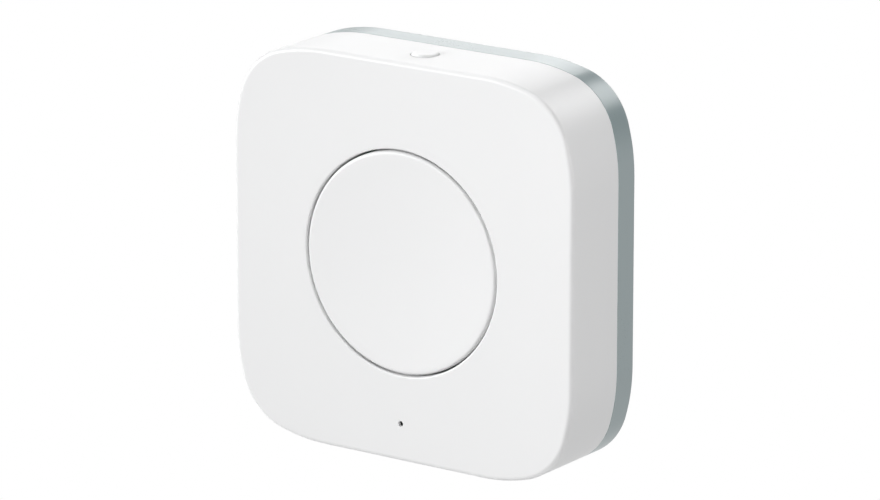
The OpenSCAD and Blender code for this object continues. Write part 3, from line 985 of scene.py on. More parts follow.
@dataclass
class Workshop:
    """What every sub-assembly is made with."""

    stand: Stand
    outline: CasingOutline
    palette: Palette
    nodes: dict[str, bpy.types.Object]
    turned: TurnedShape
    repeated: RepeatedShape

    def blank(self) -> Blank:
        """Starts a mesh in face coordinates."""
        return Blank(self.stand)

    def pattern(self) -> Blank:
        """Starts a mesh at the origin."""
        return Blank(Stand(0.0, 0.0))

    def report(self, piece: bpy.types.Object, body: str, slot: str, *nodes: str) -> None:
        """Hands a finished piece to the frame.

        Args:
            piece: Finished object.
            body: Body that it moves with.
            slot: Record's material slot; not used.
            nodes: Solids that it stands for.
        """
        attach(piece, body)
        if nodes:
            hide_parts(*nodes)
        log.info("%s: %d faces on %s", piece.name, len(piece.data.polygons), body)


# Sub-assemblies


@dataclass
class FrontShell:
    """White front shell with the button's opening, the reset hole and the indicator's pinhole.

    The root is how far a fitting sinks into what carries it, a lap is how far a shape runs into or past
    its neighbour, past is how far a cut runs out of the shell, and flat is the short stretch that leads
    into a rounding.
    """

    shop: Workshop
    seam: float
    wall: float = 1.8
    panel: float = 1.6
    edge_r: float = 0.5
    seam_r: float = 0.05
    face_ring: float = 3.0
    lip_t: float = 0.9
    rebate: float = 1.7
    opening_r: float = 12.7
    mouth_r: float = 0.2
    collar_r: float = 13.7
    collar_h: float = 2.0
    slot_w: float = 5.4
    slot_laps: Point = (2.0, 1.0)
    slot_clear: float = 0.01
    lug_angles: Spot = (90.0, 210.0, 330.0)
    boss_r: float = 1.9
    boss_end: float = 5.95
    pilot_r: float = 0.825
    pilot_top: float = 2.55
    rib_t: float = 0.8
    rib_h: float = 1.0
    rib_laps: Point = (0.5, 0.4)
    rib_angles: tuple[float, ...] = (45.0, 135.0, 225.0, 315.0)
    reset_depth: float = 4.65
    reset_hole_r: float = 1.6
    reset_mouth_r: float = 0.06
    reset_steps: int = 96
    pinhole_v: float = -18.2
    pinhole_r: float = 0.3
    pinhole_bevel: float = 0.03
    pinhole_depth: float = 0.4
    tube_r: float = 1.55
    tube_bore: float = 0.8
    tube_end: float = 4.85
    pocket: tuple[float, float, float, float] = (0.65, 2.65, 3.8, 5.3)
    pocket_lap: float = 0.3
    hook_v: float = 9.412
    flat: float = 0.05
    root: float = 0.3
    past: float = 0.4

    def section(self) -> list[Loop]:
        """Walks the shell's section from the seam over the face, into the opening and back inside.

        Returns:
            Loops of the shell's skin.
        """
        o, r, m, f = self.shop.outline, self.edge_r, self.mouth_r, self.flat
        loops = [o.loop(self.seam_r, self.seam), o.loop(0, self.seam - self.seam_r), o.loop(0, r + f)]
        loops += [o.loop(r * (1 - c), r * (1 - s)) for s, c in rounding()]
        loops += [o.loop(r + f, 0), o.loop(self.face_ring, 0), o.round_loop(self.opening_r + m + f, 0)]
        loops += [o.round_loop(self.opening_r + m * (1 - s), m * (1 - c)) for s, c in rounding(steps=6)]
        loops += [o.round_loop(self.opening_r, m + f)]
        loops += [o.round_loop(r, self.panel + self.collar_h) for r in (self.opening_r, self.collar_r)]
        loops += [o.round_loop(self.collar_r, self.panel), o.loop(self.wall, self.panel)]
        step = self.seam - self.rebate
        loops += [o.loop(self.wall, step), o.loop(self.lip_t, step), o.loop(self.lip_t, self.seam)]
        return loops

    def build(self) -> None:
        """Builds and dresses the shell."""
        shop, white = self.shop, self.shop.palette["white_satin"]
        shell = shop.blank().loft(self.section(), Ends.JOINED).solid("front_shell", white)
        merge(shell, self._fittings().solid("fittings"), Merge.ADD)
        merge(shell, self._holes().solid("holes"), Merge.CARVE)
        shop.report(smooth(shell, white), "casing", "white_plastic", "front_case")

    def _fittings(self) -> Blank:
        """Draws the bosses, ribs and light tube behind the panel.

        Returns:
            Their solids.
        """
        parts, c = self.shop.blank(), self.shop.outline.tight_c
        sunk, (near, far) = self.panel - self.root, self.rib_laps
        for su, sv in CORNER_SIGNS:
            parts.rod((su * c, sv * c), [(self.boss_r, sunk), (self.boss_r, self.boss_end)])
        low = (self.collar_r - near, -self.rib_t / 2, sunk)
        reach = c * math.sqrt(2) - self.boss_r
        high = (reach + far, self.rib_t / 2, self.panel + self.rib_h)
        for turn in self.rib_angles:
            parts.block(low, high, turn)
        return parts.rod((0, self.pinhole_v), [(self.tube_r, sunk), (self.tube_r, self.tube_end)])

    def _holes(self) -> Blank:
        """Draws what is cut out of the shell.

        Returns:
            Solids of the cuts.
        """
        o, cuts, past = self.shop.outline, self.shop.blank(), self.past
        inwards, outwards = self.slot_laps
        low = (self.opening_r - inwards, -self.slot_w / 2, self.panel + self.slot_clear)
        high = (self.collar_r + outwards, self.slot_w / 2, self.panel + self.collar_h + past)
        for angle in self.lug_angles:
            cuts.block(low, high, angle)
        pilot = [(self.pilot_r, self.pilot_top), (self.pilot_r, self.boss_end + past)]
        for su, sv in CORNER_SIGNS:
            cuts.rod((su * o.tight_c, sv * o.tight_c), pilot)
        reset, m = self.reset_hole_r, self.reset_mouth_r
        rings = [(reset, o.half - self.wall - past), (reset, o.half - m)]
        rings += [(reset + m * (1 - c), o.half - m * (1 - s)) for s, c in rounding(steps=4)[1:]]
        rings += [(reset + m, o.half + past)]
        cuts.rod((0, self.reset_depth), rings, Axis.UP, self.reset_steps)
        pin, bevel, step = self.pinhole_r, self.pinhole_bevel, self.pinhole_depth
        rings = [(pin + bevel, -past), (pin + bevel, 0.0), (pin, bevel), (pin, step)]
        rings += [(self.tube_bore, step), (self.tube_bore, self.tube_end + past)]
        cuts.rod((0, self.pinhole_v), rings)
        deep, wide, near, far = self.pocket
        inner = o.half - self.wall
        for su, sv in CORNER_SIGNS:
            us = sorted((su * (inner - self.pocket_lap), su * (inner + deep)))
            v = sv * self.hook_v
            cuts.block((us[0], v - wide, near), (us[1], v + wide, far))
        return cuts


@dataclass
class MainButton:
    """Round, dished push button with its skirt, pusher, ribs and lugs."""

    shop: Workshop
    radius: float = 12.5
    edge_r: float = 0.35
    flat: float = 0.05
    land_flat: float = 0.03
    dish: float = 0.3
    dish_r: float = 11.95
    dish_steps: int = 24
    brink: float = 0.1
    plate: float = 1.6
    skirt_end: float = 3.1
    skirt_in: float = 11.5
    pusher_r: float = 2.0
    pusher_end: float = 3.35
    lug_w: float = 5.0
    lug_reach: float = 14.2
    lug_root: float = 0.5
    lug_depths: Point = (1.65, 2.45)
    lug_angles: Spot = (90.0, 210.0, 330.0)
    rib_t: float = 0.8
    rib_h: float = 0.5
    rib_lap: float = 0.4
    rib_root: float = 0.2
    rib_turn: float = 60.0

    def profile(self) -> Profile:
        """Gives the button's half section from the middle of its dish to its pusher.

        Returns:
            Radius and depth of each point.
        """
        ball = ball_radius(self.dish_r, self.dish)
        radii = [self.dish_r * i / self.dish_steps for i in range(self.dish_steps)]
        radii += [self.dish_r - self.brink, self.dish_r]
        line = [(r, self.dish - ball + math.sqrt(ball**2 - r**2)) for r in radii]
        land = self.radius - self.edge_r
        line += [(self.dish_r + self.brink, 0.0), (land - self.land_flat, 0.0)]
        line += [(land + self.edge_r * s, self.edge_r * (1 - c)) for s, c in rounding()]
        line += [(self.radius, self.edge_r + self.flat), (self.radius, self.skirt_end)]
        line += [(self.skirt_in, self.skirt_end), (self.skirt_in, self.plate)]
        line += [(self.pusher_r, self.plate), (self.pusher_r, self.pusher_end)]
        return line + [(0.0, self.pusher_end)]

    def build(self) -> None:
        """Builds and dresses the button."""
        shop, white = self.shop, self.shop.palette["white_satin"]
        cap = shop.turned.turn("main_button_cap", self.profile(), white, shop.stand.at(0, 0, 0))
        parts, (near, far) = shop.blank(), self.lug_depths
        lug_low = (self.radius - self.lug_root, -self.lug_w / 2, near)
        lug_high = (self.lug_reach, self.lug_w / 2, far)
        rib_low = (self.pusher_r - self.rib_lap, -self.rib_t / 2, self.plate - self.rib_root)
        rib_high = (self.skirt_in + self.rib_lap, self.rib_t / 2, self.plate + self.rib_h)
        for angle in self.lug_angles:
            parts.block(lug_low, lug_high, angle)
            parts.block(rib_low, rib_high, angle + self.rib_turn)
        merge(cap, parts.solid("lugs_and_ribs"), Merge.ADD)
        shop.report(smooth(cap, white), "main_button", "white_plastic", "button_cap")


@dataclass
class ResetKey:
    """Small round button in the top side, with the bar that keeps it in.

    The bar has its half length, its lower and upper end and half its thickness.
    """

    shop: Workshop
    radius: float = 1.5
    proud: float = 0.25
    edge_r: float = 0.2
    crown: float = 0.03
    crown_steps: int = 10
    segments: int = 96
    depth: float = 4.65
    foot: float = 20.6
    bar: tuple[float, float, float, float] = (2.5, 20.05, 20.65, 1.0)
    stem_end: float = 19.45
    stem_lap: float = 0.2

    def profile(self) -> Profile:
        """Gives the key's half section from the middle of its crown to its foot.

        Returns:
            Radius and height of each point.
        """
        top, land = self.shop.outline.half + self.proud, self.radius - self.edge_r
        ball = ball_radius(land, self.crown)
        radii = [land * i / self.crown_steps for i in range(self.crown_steps)]
        line = [(r, top - ball + math.sqrt(ball**2 - r**2)) for r in radii]
        edge = top - self.crown
        line += [(land + self.edge_r * s, edge - self.edge_r * (1 - c)) for s, c in rounding(steps=6)]
        return line + [(self.radius, self.foot), (0.0, self.foot)]

    def build(self) -> None:
        """Builds and dresses the key."""
        shop, white = self.shop, self.shop.palette["white_satin"]
        centre = shop.stand.at(0, 0, self.depth)
        key = shop.turned.turn(
            "reset_key_cap", self.profile(), white, centre, Axis.UP, segments=self.segments
        )
        half, low, high, thick = self.bar
        bar = shop.blank().block((-half, low, self.depth - thick), (half, high, self.depth + thick))
        rings = [(thick, self.stem_end), (thick, low + self.stem_lap)]
        stem = shop.blank().rod((0, self.depth), rings, Axis.UP)
        merge(key, bar.solid("bar"), Merge.ADD)
        merge(key, stem.solid("stem"), Merge.ADD)
        shop.report(smooth(key, white), "reset_key", "white_plastic", "reset_button")


@dataclass(frozen=True)
class TurnMark:
    """Small round dent in the rear face, which shows how the door stands."""

    radius: float = 0.4
    depth: float = 0.2
    past: float = 0.3
    steps: int = 5
    segments: int = 24

    def carve(self, cuts: Blank, spot: Point, back: float) -> None:
        """Adds the dent to a piece's cuts.

        Args:
            cuts: Solids of the cuts.
            spot: Middle of the dent.
            back: Depth of the rear face.
        """
        dent = [(self.radius * c, back - self.depth * s) for s, c in rounding(self.steps)[:-1]]
        cuts.rod(spot, [(self.radius, back + self.past), *dent], steps=self.segments)


@dataclass
class RearShell:
    """Grey-green rear shell with the battery well, the door's seat and the tape ring's recess.

    The contact's slot has its reach to both sides of the well's inner face, half its width and how far
    it runs past the well's top. A hook's barb has its reach, its height and its blunt end.
    """

    shop: Workshop
    seam: float
    back: float
    wall: float = 1.8
    panel: float = 1.6
    edge_r: float = 0.2
    edge_steps: int = 10
    seam_r: float = 0.05
    tongue_in: float = 1.0
    tongue_h: float = 1.6
    tape_radii: Point = (14.55, 21.1)
    tape_depth: float = 0.4
    door_recess_r: float = 13.35
    door_hole_r: float = 12.1
    door_seat: float = 0.8
    chamber: Point = (13.15, 14.05)
    well: Point = (10.3, 11.2)
    well_top: float = 4.65
    well_t: float = 0.9
    contact_slot: Spot = (1.2, 2.5, 0.3)
    notch: Point = (11.8, 13.0)
    notch_angles: Spot = (-10.0, 110.0, 230.0)
    notch_span: float = 28.0
    notch_lap: float = 0.2
    post_r: float = 1.1
    post_at: float = 17.375
    post_top: float = 5.05
    hook_v: float = 9.412
    hook_w: float = 5.0
    hook_t: float = 0.8
    hook_gap: float = 0.15
    hook_top: float = 8.05
    barb: Spot = (0.5, 1.2, 0.3)
    soft: float = 0.06
    flat: float = 0.05
    root: float = 0.3
    mark: TurnMark = TurnMark()
    mark_angles: Point = (30.0, -10.0)

    def section(self) -> list[Loop]:
        """Walks the shell's section from the seam over the rear face, into the well and back inside.

        Returns:
            Loops of the shell's skin.
        """
        o, b, r, e, f = self.shop.outline, self.back, self.edge_r, self.soft, self.flat
        inner, (tape_in, tape_out) = b - self.panel, self.tape_radii
        loops = [o.loop(self.seam_r, self.seam), o.loop(0, self.seam + self.seam_r), o.loop(0, b - r - f)]
        loops += [o.loop(r * (1 - c), b - r * (1 - s)) for s, c in rounding(self.edge_steps)]
        loops += [o.loop(r + f, b)]
        rings = [(tape_out + e, b), (tape_out, b - e), (tape_out, b - self.tape_depth)]
        rings += [(tape_in, b - self.tape_depth), (tape_in, b - e), (tape_in - e, b)]
        seat = b - self.door_seat
        rings += [(self.door_recess_r + e, b), (self.door_recess_r, b - e), (self.door_recess_r, seat)]
        rings += [(self.door_hole_r, seat), (self.door_hole_r, inner), (self.chamber[0], inner)]
        top, roof = b - self.well_top, b - self.well_top + self.well_t
        rings += [(self.chamber[0], roof), (self.well[1], roof), (self.well[1], inner)]
        rings += [(self.well[0], inner), (self.well[0], top)]
        rings += [(self.chamber[1], top), (self.chamber[1], inner)]
        loops += [o.round_loop(*ring) for ring in rings]
        tongue = self.seam - self.tongue_h
        loops += [o.loop(self.wall, inner), o.loop(self.wall, tongue), o.loop(self.tongue_in, tongue)]
        return loops + [o.loop(self.tongue_in, self.seam)]

    def build(self) -> None:
        """Builds and dresses the shell."""
        shop, grey = self.shop, self.shop.palette["grey_green_matt"]
        shell = shop.blank().loft(self.section(), Ends.JOINED).solid("rear_shell", grey)
        merge(shell, self._fittings().solid("fittings"), Merge.ADD)
        merge(shell, self._cuts().solid("cuts"), Merge.CARVE)
        shop.report(smooth(shell, grey), "casing", "rear_plastic", "rear_case")

    def _fittings(self) -> Blank:
        """Draws the posts under the board and the snap hooks.

        Returns:
            Their solids.
        """
        parts, floor = self.shop.blank(), self.back - self.panel + self.root
        for k in range(4):
            spot = turned(self.post_at, 0, k * RIGHT_ANGLE)
            parts.rod(spot, [(self.post_r, self.back - self.post_top), (self.post_r, floor)])
        wall, top = self.shop.outline.half - self.wall, self.back - self.hook_top
        reach, height, end = self.barb
        outer = wall - self.hook_gap
        inner = outer - self.hook_t
        section = [(inner, floor), (inner, top), (outer, top), (wall + reach, top + height - end)]
        section += [(wall + reach, top + height), (outer, top + height), (outer, floor)]
        for su, sv in CORNER_SIGNS:
            sides = [(su * u, d) for u, d in section]
            parts.prism(sides, sv * self.hook_v - self.hook_w / 2, sv * self.hook_v + self.hook_w / 2)
        return parts

    def _cuts(self) -> Blank:
        """Draws the bayonet notches, the contact's slot and the two turn marks.

        Returns:
            Solids of the cuts.
        """
        cuts, lap = self.shop.blank(), self.notch_lap
        inner, seat = self.back - self.panel, self.back - self.door_seat
        for angle in self.notch_angles:
            cuts.sector(self.notch, (inner - lap, seat + lap), angle, self.notch_span)
        reach, half, past = self.contact_slot
        low = (-self.well[0] - reach, -half, self.back - self.well_top - past)
        cuts.block(low, (reach - self.well[0], half, inner))
        middle = (self.tape_radii[0] + self.door_recess_r) / 2
        for angle in self.mark_angles:
            self.mark.carve(cuts, turned(middle, 0, math.radians(angle)), self.back)
        return cuts


@dataclass
class BatteryDoor:
    """Round door with a coin slot, a skirt and three bayonet lugs."""

    shop: Workshop
    back: float
    radius: float = 13.2
    rim_t: float = 0.75
    plate: float = 1.0
    edge_r: float = 0.15
    flat: float = 0.05
    skirt: Point = (11.35, 11.95)
    skirt_end: float = 2.6
    lug_radii: Point = (11.6, 12.85)
    lug_depths: Point = (1.7, 2.5)
    lug_angles: Spot = (30.0, 150.0, 270.0)
    lug_span: float = 24.0
    slot_l: float = 14.0
    slot_w: float = 2.2
    slot_depth: float = 0.6
    slot_soft: float = 0.08
    slot_steps: int = 32
    past: float = 0.3
    mark: TurnMark = TurnMark()
    mark_at: float = 12.2

    def profile(self) -> Profile:
        """Gives the door's half section from the middle of its outer face to that of its inner one.

        Returns:
            Radius and depth of each point.
        """
        b, e, (inner, outer) = self.back, self.edge_r, self.skirt
        line = [(0.0, b), (self.radius - e - self.flat, b)]
        line += [(self.radius - e + e * s, b - e + e * c) for s, c in rounding(steps=5)]
        line += [(self.radius, b - self.rim_t), (outer, b - self.rim_t), (outer, b - self.skirt_end)]
        return line + [(inner, b - self.skirt_end), (inner, b - self.plate), (0.0, b - self.plate)]

    def build(self) -> None:
        """Builds and dresses the door."""
        shop, grey = self.shop, self.shop.palette["grey_green_matt"]
        door = shop.turned.turn("battery_door_disc", self.profile(), grey, shop.stand.at(0, 0, 0))
        flat_ends(door)
        lugs = shop.blank()
        near, far = self.back - self.lug_depths[1], self.back - self.lug_depths[0]
        for angle in self.lug_angles:
            lugs.sector(self.lug_radii, (near, far), angle, self.lug_span)
        merge(door, lugs.solid("lugs"), Merge.ADD)
        merge(door, self._coin_slot().solid("coin_slot"), Merge.CARVE)
        shop.report(smooth(door, grey), "door", "rear_plastic", "battery_door")

    def _coin_slot(self) -> Blank:
        """Draws the coin slot with a soft mouth, and the door's turn mark.

        Returns:
            Solids of the cuts.
        """
        cuts, b, soft = self.shop.blank(), self.back, self.slot_soft
        reach, steps = (self.slot_l - self.slot_w) / 2, self.slot_steps
        angles = [math.pi * i / steps - RIGHT_ANGLE for i in range(steps + 1)]
        levels = ((soft, b + self.past), (soft, b), (0.0, b - soft), (0.0, b - self.slot_depth))
        loops = []
        for grow, depth in levels:
            radius = self.slot_w / 2 + grow
            end = [(reach + radius * math.cos(a), radius * math.sin(a), depth) for a in angles]
            loops.append(end + [(-u, -v, d) for u, v, d in end])
        cuts.loft(loops)
        self.mark.carve(cuts, turned(self.mark_at, 0, math.radians(self.lug_angles[0])), b)
        return cuts


@dataclass
class TapeRing:
    """Ring of double-sided foam tape on the rear face, with sides that swell a little."""

    shop: Workshop
    back: float
    radii: Point = (14.65, 21.0)
    sunk: float = 0.4
    proud: float = 0.4
    edge_r: float = 0.16
    bulge: float = 0.05
    bulge_at: float = 0.1
    bands: int = 12

    def profile(self) -> Profile:
        """Gives the ring's section from its inner side over its outer face.

        Returns:
            Radius and depth of each point.
        """
        (inner, outer), e = self.radii, self.edge_r
        low, swell, high = self.back - self.sunk, self.back + self.bulge_at, self.back + self.proud
        line = [(inner, low), (inner - self.bulge, swell)]
        line += [(inner + e * (1 - c), high - e * (1 - s)) for s, c in rounding(steps=6)]
        line += [(inner + (outer - inner) * i / self.bands, high) for i in range(1, self.bands)]
        line += [(outer - e * (1 - s), high - e * (1 - c)) for s, c in rounding(steps=6)]
        return line + [(outer + self.bulge, swell), (outer, low)]

    def build(self) -> None:
        """Builds and dresses the ring."""
        shop, foam = self.shop, self.shop.palette["tape_foam"]
        centre = shop.stand.at(0, 0, 0)
        ring = shop.turned.turn("tape_ring", self.profile(), foam, centre, closed=True)
        smooth(ring, foam)
        shop.report(ring, "casing", "foam_tape", "adhesive_pad")


@dataclass
class PanHeadScrew:
    """Screw with a domed head, a cross recess and a thread of turned grooves.

    The dome and the groove are shares of the head and of the shank. The flanks are measured from the
    upper end of a crest: up to the floor of the groove above, down to the crest's lower end and down to
    the floor of the next groove. The tip has its share of the shank and its length. The recess has half
    its length, half its width, its floor and its upper end.
    """

    shop: Workshop
    shank_r: float = 0.8
    length: float = 4.0
    head_r: float = 1.5
    head_h: float = 0.9
    dome: float = 0.55
    pitch: float = 0.5
    first_crest: float = 0.6
    groove: float = 0.78
    flanks: Spot = (0.15, 0.06, 0.2)
    tip: Point = (0.6, 0.2)
    recess: tuple[float, float, float, float] = (0.85, 0.16, 0.35, 1.2)
    segments: int = 40

    def profile(self) -> Profile:
        """Gives the half section from the top of the head to the tip.

        Returns:
            Radius and height of each point.
        """
        r, rest, (start, crest, end) = self.shank_r, 1 - self.dome, self.flanks
        line = [(0.0, self.head_h)]
        for s, c in rounding(steps=6):
            line.append((self.head_r * (rest + self.dome * s), self.head_h * (rest + self.dome * c)))
        line += [(self.head_r, 0.0), (r, 0.0)]
        for i in range(int(self.length / self.pitch) - 1):
            z = -self.pitch * (i + self.first_crest)
            line += [(r * self.groove, z + start), (r, z), (r, z - crest), (r * self.groove, z - end)]
        return line + [(r * self.tip[0], self.tip[1] - self.length), (0.0, -self.length)]

    def pattern(self) -> bpy.types.Object:
        """Makes one screw at the origin.

        Returns:
            The screw.
        """
        steel = self.shop.palette["bright_steel"]
        origin = Vector((0, 0, 0))
        screw = self.shop.turned.turn("screw", self.profile(), steel, origin, segments=self.segments)
        long, wide, floor, top = self.recess
        for u, v in ((long, wide), (wide, long)):
            bar = self.shop.pattern().block((-u, -v, floor), (u, v, top))
            merge(screw, bar.solid("bar"), Merge.CARVE)
        return smooth(screw, steel)


@dataclass
class BoardFittings:
    """Screws, chip, pins, end caps and vias of the circuit board.

    The chip's draft is its inset at the foot, above the foot and below its soft upper edge. The dimple
    has its radius at the mouth and at the floor, its depth and its distance from both sides. A via's
    ring has shares of its radius with their depths. A block's levels are half its width and its depth.
    """

    shop: Workshop
    rear: float = 6.95
    front: float = 5.95
    screw_turn: float = 31.0
    chip_soft: float = 0.12
    chip_draft: Spot = (0.03, 0.0, 0.02)
    chip_foot: float = 0.2
    dimple: tuple[float, float, float, float] = (0.32, 0.28, 0.08, 0.9)
    dimple_steps: int = 24
    past: float = 0.2
    pin_pitch: float = 0.65
    pin_w: float = 0.3
    pin_l: float = 0.45
    pin_h: float = 0.12
    pin_root: float = 0.15
    pin_margin: float = 1.0
    chips: tuple[str, ...] = ("capacitors", "resistors")
    cap_share: float = 0.26
    cap_skin: float = 0.02
    via_r: float = 0.22
    via_pitch: float = 2.2
    via_steps: int = 16
    via_ring: tuple[Point, ...] = ((1.0, 0.0), (0.9, -0.03), (0.5, -0.03), (0.4, 0.0))
    right_u: float = 16.6
    right_vias: tuple[int, ...] = (-2, -1, 0, 1, 2)
    lower_start: Point = (-11.0, -15.2)
    lower_vias: tuple[int, ...] = (0, 1, 2, 3, 7, 8)
    upper_start: Point = (-4.0, 13.6)
    upper_vias: tuple[int, ...] = (0, -1, -2)
    block_levels: tuple[Point, ...] = ((0.5, 0.5), (0.5, -0.38), (0.44, -0.5))

    def build(self) -> None:
        """Builds and dresses all the fittings."""
        self._screws()
        self._chip()
        self._end_caps()
        self._vias()

    def _screws(self) -> None:
        """Repeats one screw at the four bosses, each of them turned further than the last."""
        shop, c = self.shop, self.shop.outline.tight_c
        places = []
        for i in range(4):
            point = shop.stand.at(*turned(-c, -c, i * RIGHT_ANGLE), self.rear)
            places.append((point, self.screw_turn * i, (1.0, 1.0, 1.0)))
        screw, steel = PanHeadScrew(shop).pattern(), shop.palette["bright_steel"]
        screws = shop.repeated.repeat("pan_head_screws", screw, places, steel)
        shop.report(screws, "casing", "steel", "board_screws")

    def _chip(self) -> None:
        """Makes the chip's moulded body with its corner dimple, and its pins."""
        shop, black, soft = self.shop, self.shop.palette["black_mould"], self.chip_soft
        (u0, v0, top), (u1, v1, foot) = (shop.stand.spot(point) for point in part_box("radio_chip"))
        insets = (*self.chip_draft, soft)
        depths = (foot, foot - self.chip_foot, top + soft, top)
        ring = ((u0, v0, 1, 1), (u1, v0, -1, 1), (u1, v1, -1, -1), (u0, v1, 1, -1))
        loops = []
        for inset, depth in zip(insets, depths):
            loops.append([(u + a * inset, v + b * inset, depth) for u, v, a, b in ring])
        chip = shop.blank().loft(loops).solid("chip_body", black)
        mouth, floor, deep, away = self.dimple
        dent = [(mouth, top - self.past), (mouth, top), (floor, top + deep)]
        dimple = shop.blank().rod((u0 + away, v1 - away), dent, steps=self.dimple_steps)
        merge(chip, dimple.solid("dimple"), Merge.CARVE)
        shop.report(smooth(chip, black), "casing", "dark_plastic", "radio_chip")
        self._pins((u0 + u1) / 2, (v0 + v1) / 2, (u1 - u0) / 2)

    def _pins(self, u: float, v: float, half: float) -> None:
        """Repeats a pin along the four sides of the chip.

        Args:
            u: Place of the chip's middle to the right.
            v: Its place upwards.
            half: Half the chip's width.
        """
        shop, places = self.shop, []
        count = int((2 * half - self.pin_margin) / self.pin_pitch)
        out = half + self.pin_l / 2 - self.pin_root
        for side in range(4):
            for i in range(count + 1):
                du, dv = turned(out, (i - count / 2) * self.pin_pitch, side * RIGHT_ANGLE)
                point = shop.stand.at(u + du, v + dv, self.front - self.pin_h / 2)
                places.append((point, -90.0 * side, (self.pin_l, self.pin_h, self.pin_w)))
        tin = shop.palette["tinned_copper"]
        pins = shop.repeated.repeat("chip_pins", self._unit_block(), places, tin)
        shop.report(pins, "casing", "steel")

    def _end_caps(self) -> None:
        """Repeats a metal cap over both ends of each chip capacitor and resistor."""
        shop, skin, places = self.shop, self.cap_skin, []
        for low, high in [box for node in self.chips for box in islands(shop.nodes[node])]:
            size = high - low
            long = 0 if size.x > size.z else 2
            scale = [side / MM + 2 * skin for side in size]
            scale[long] = size[long] / MM * self.cap_share + 2 * skin
            scale[1] = size.y / MM + skin
            for end, inwards in ((low, 1), (high, -1)):
                middle = (low + high) / 2
                middle[long] = end[long] + inwards * size[long] * self.cap_share / 2
                middle.y -= skin / 2 * MM
                places.append((middle, 0.0, tuple(scale)))
        tin = shop.palette["tinned_copper"]
        caps = shop.repeated.repeat("end_caps", self._unit_block(), places, tin)
        shop.report(caps, "casing", "steel")

    def _vias(self) -> None:
        """Repeats plated rings in rows along the board's right, lower and upper edges."""
        shop, pitch = self.shop, self.via_pitch
        angles = [2 * math.pi * i / self.via_steps for i in range(self.via_steps)]
        loops = [[(k * math.cos(a), k * math.sin(a), d) for a in angles] for k, d in self.via_ring]
        ring = shop.pattern().loft(loops, Ends.JOINED).solid("via")
        spots = [(self.right_u, pitch * i) for i in self.right_vias]
        for (u, v), row in ((self.lower_start, self.lower_vias), (self.upper_start, self.upper_vias)):
            spots += [(u + pitch * i, v) for i in row]
        size = (self.via_r, 1.0, self.via_r)
        places = [(shop.stand.at(u, v, self.front), 0.0, size) for u, v in spots]
        vias = shop.repeated.repeat("board_vias", ring, places, shop.palette["gold_plate"])
        shop.report(vias, "casing", "steel")

    def _unit_block(self) -> bpy.types.Object:
        """Makes a block of one millimetre with soft front edges, at the origin."""
        loops = [[(-h, -h, d), (h, -h, d), (h, h, d), (-h, h, d)] for h, d in self.block_levels]
        return self.shop.pattern().loft(loops).solid("unit_block")


@dataclass
class SnapDome:
    """Sprung metal dome of a switch, which goes flat under its plunger."""

    shop: Workshop
    node: str
    joint: str
    axis: Axis
    travel: float
    sheet: float = 0.1
    clear: float = 0.01
    steps: int = 12
    segments: int = 64

    def profile(self, radius: float, height: float) -> Profile:
        """Gives the dome's half section from under its crown, round its rim, to its crown.

        Args:
            radius: Radius of the rim.
            height: Height of the crown.

        Returns:
            Radius and height of each point.
        """
        ball = ball_radius(radius, height)
        base, inner = height - ball, ball - self.sheet
        rim = math.sqrt(inner**2 - base**2)
        under = [rim * i / self.steps for i in range(self.steps)]
        over = [radius * i / self.steps for i in range(self.steps)]
        line = [(r, base + math.sqrt(inner**2 - r**2)) for r in under]
        line += [(rim, 0.0), (radius, 0.0)]
        return line + [(r, base + math.sqrt(ball**2 - r**2)) for r in reversed(over)]

    def build(self) -> None:
        """Builds and dresses the dome."""
        shop, bronze = self.shop, self.shop.palette["spring_bronze"]
        low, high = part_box(self.node)
        foot, radius = (low + high) / 2, (high.x - low.x) / 2 / MM
        if self.axis is Axis.DEPTH:
            foot.y, way, size, side = high.y, (0.0, 1.0, 0.0), high.y - low.y, -1.0
        else:
            foot.z, way, size, side = low.z, (0.0, 0.0, 1.0), high.z - low.z, 1.0
        height = size / MM - self.clear
        line = [(r, side * h) for r, h in self.profile(radius, height)]
        name = f"{self.node}_sheet"
        dome = shop.turned.turn(name, line, bronze, foot, self.axis, segments=self.segments)
        shop.report(smooth(dome, bronze), "casing", "spring_bronze", self.node)
        (height - self.travel) / height
        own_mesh(dome)


@dataclass
class HiddenParts:
    """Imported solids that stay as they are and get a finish."""

    shop: Workshop
    finishes: tuple[tuple[str, tuple[str, ...]], ...] = (
        # The light pipe's nearly black resin is painted shade for the inside of its pinhole
        ("smoked_clear", ("light_pipe",)),
        ("green_lacquer", ("circuit_board",)),
        ("bright_steel", ("main_switch_cover", "reset_switch_cover", "crystal", "cell_can", "cell_cap")),
        ("tinned_copper", ("main_switch_terminals", "reset_switch_terminals")),
        ("tinned_copper", ("negative_contact", "positive_contact")),
        ("gold_plate", ("antenna_trace",)),
        ("black_mould", ("main_switch_base", "main_switch_plunger", "reset_switch_base")),
        ("black_mould", ("cell_seal", "resistors")),
        ("ivory_mould", ("reset_switch_plunger",)),
        ("lamp_resin", ("status_led",)),
        ("fired_ceramic", ("capacitors",)),
        ("tantalum_case", ("bulk_capacitor",)),
    )

    def build(self) -> None:
        """Gives each solid its finish."""
        for finish, names in self.finishes:
            for name in names:
                for slot in self.shop.nodes[name].material_slots:
                    slot.material = self.shop.palette[finish]
                log.info("%s: solid in %s", name, finish)


# Studio


def compass(azimuth: float, elevation: float) -> Vector:
    """Gives the direction from the smart button towards a point round it.

    Args:
        azimuth: Angle from straight ahead of the face towards its right, in degrees.
        elevation: Angle above the floor, in degrees.

    Returns:
        The direction, of length 1.
    """
    az, el = math.radians(azimuth), math.radians(elevation)
    return Vector((math.sin(az) * math.cos(el), -math.cos(az) * math.cos(el), math.sin(el)))


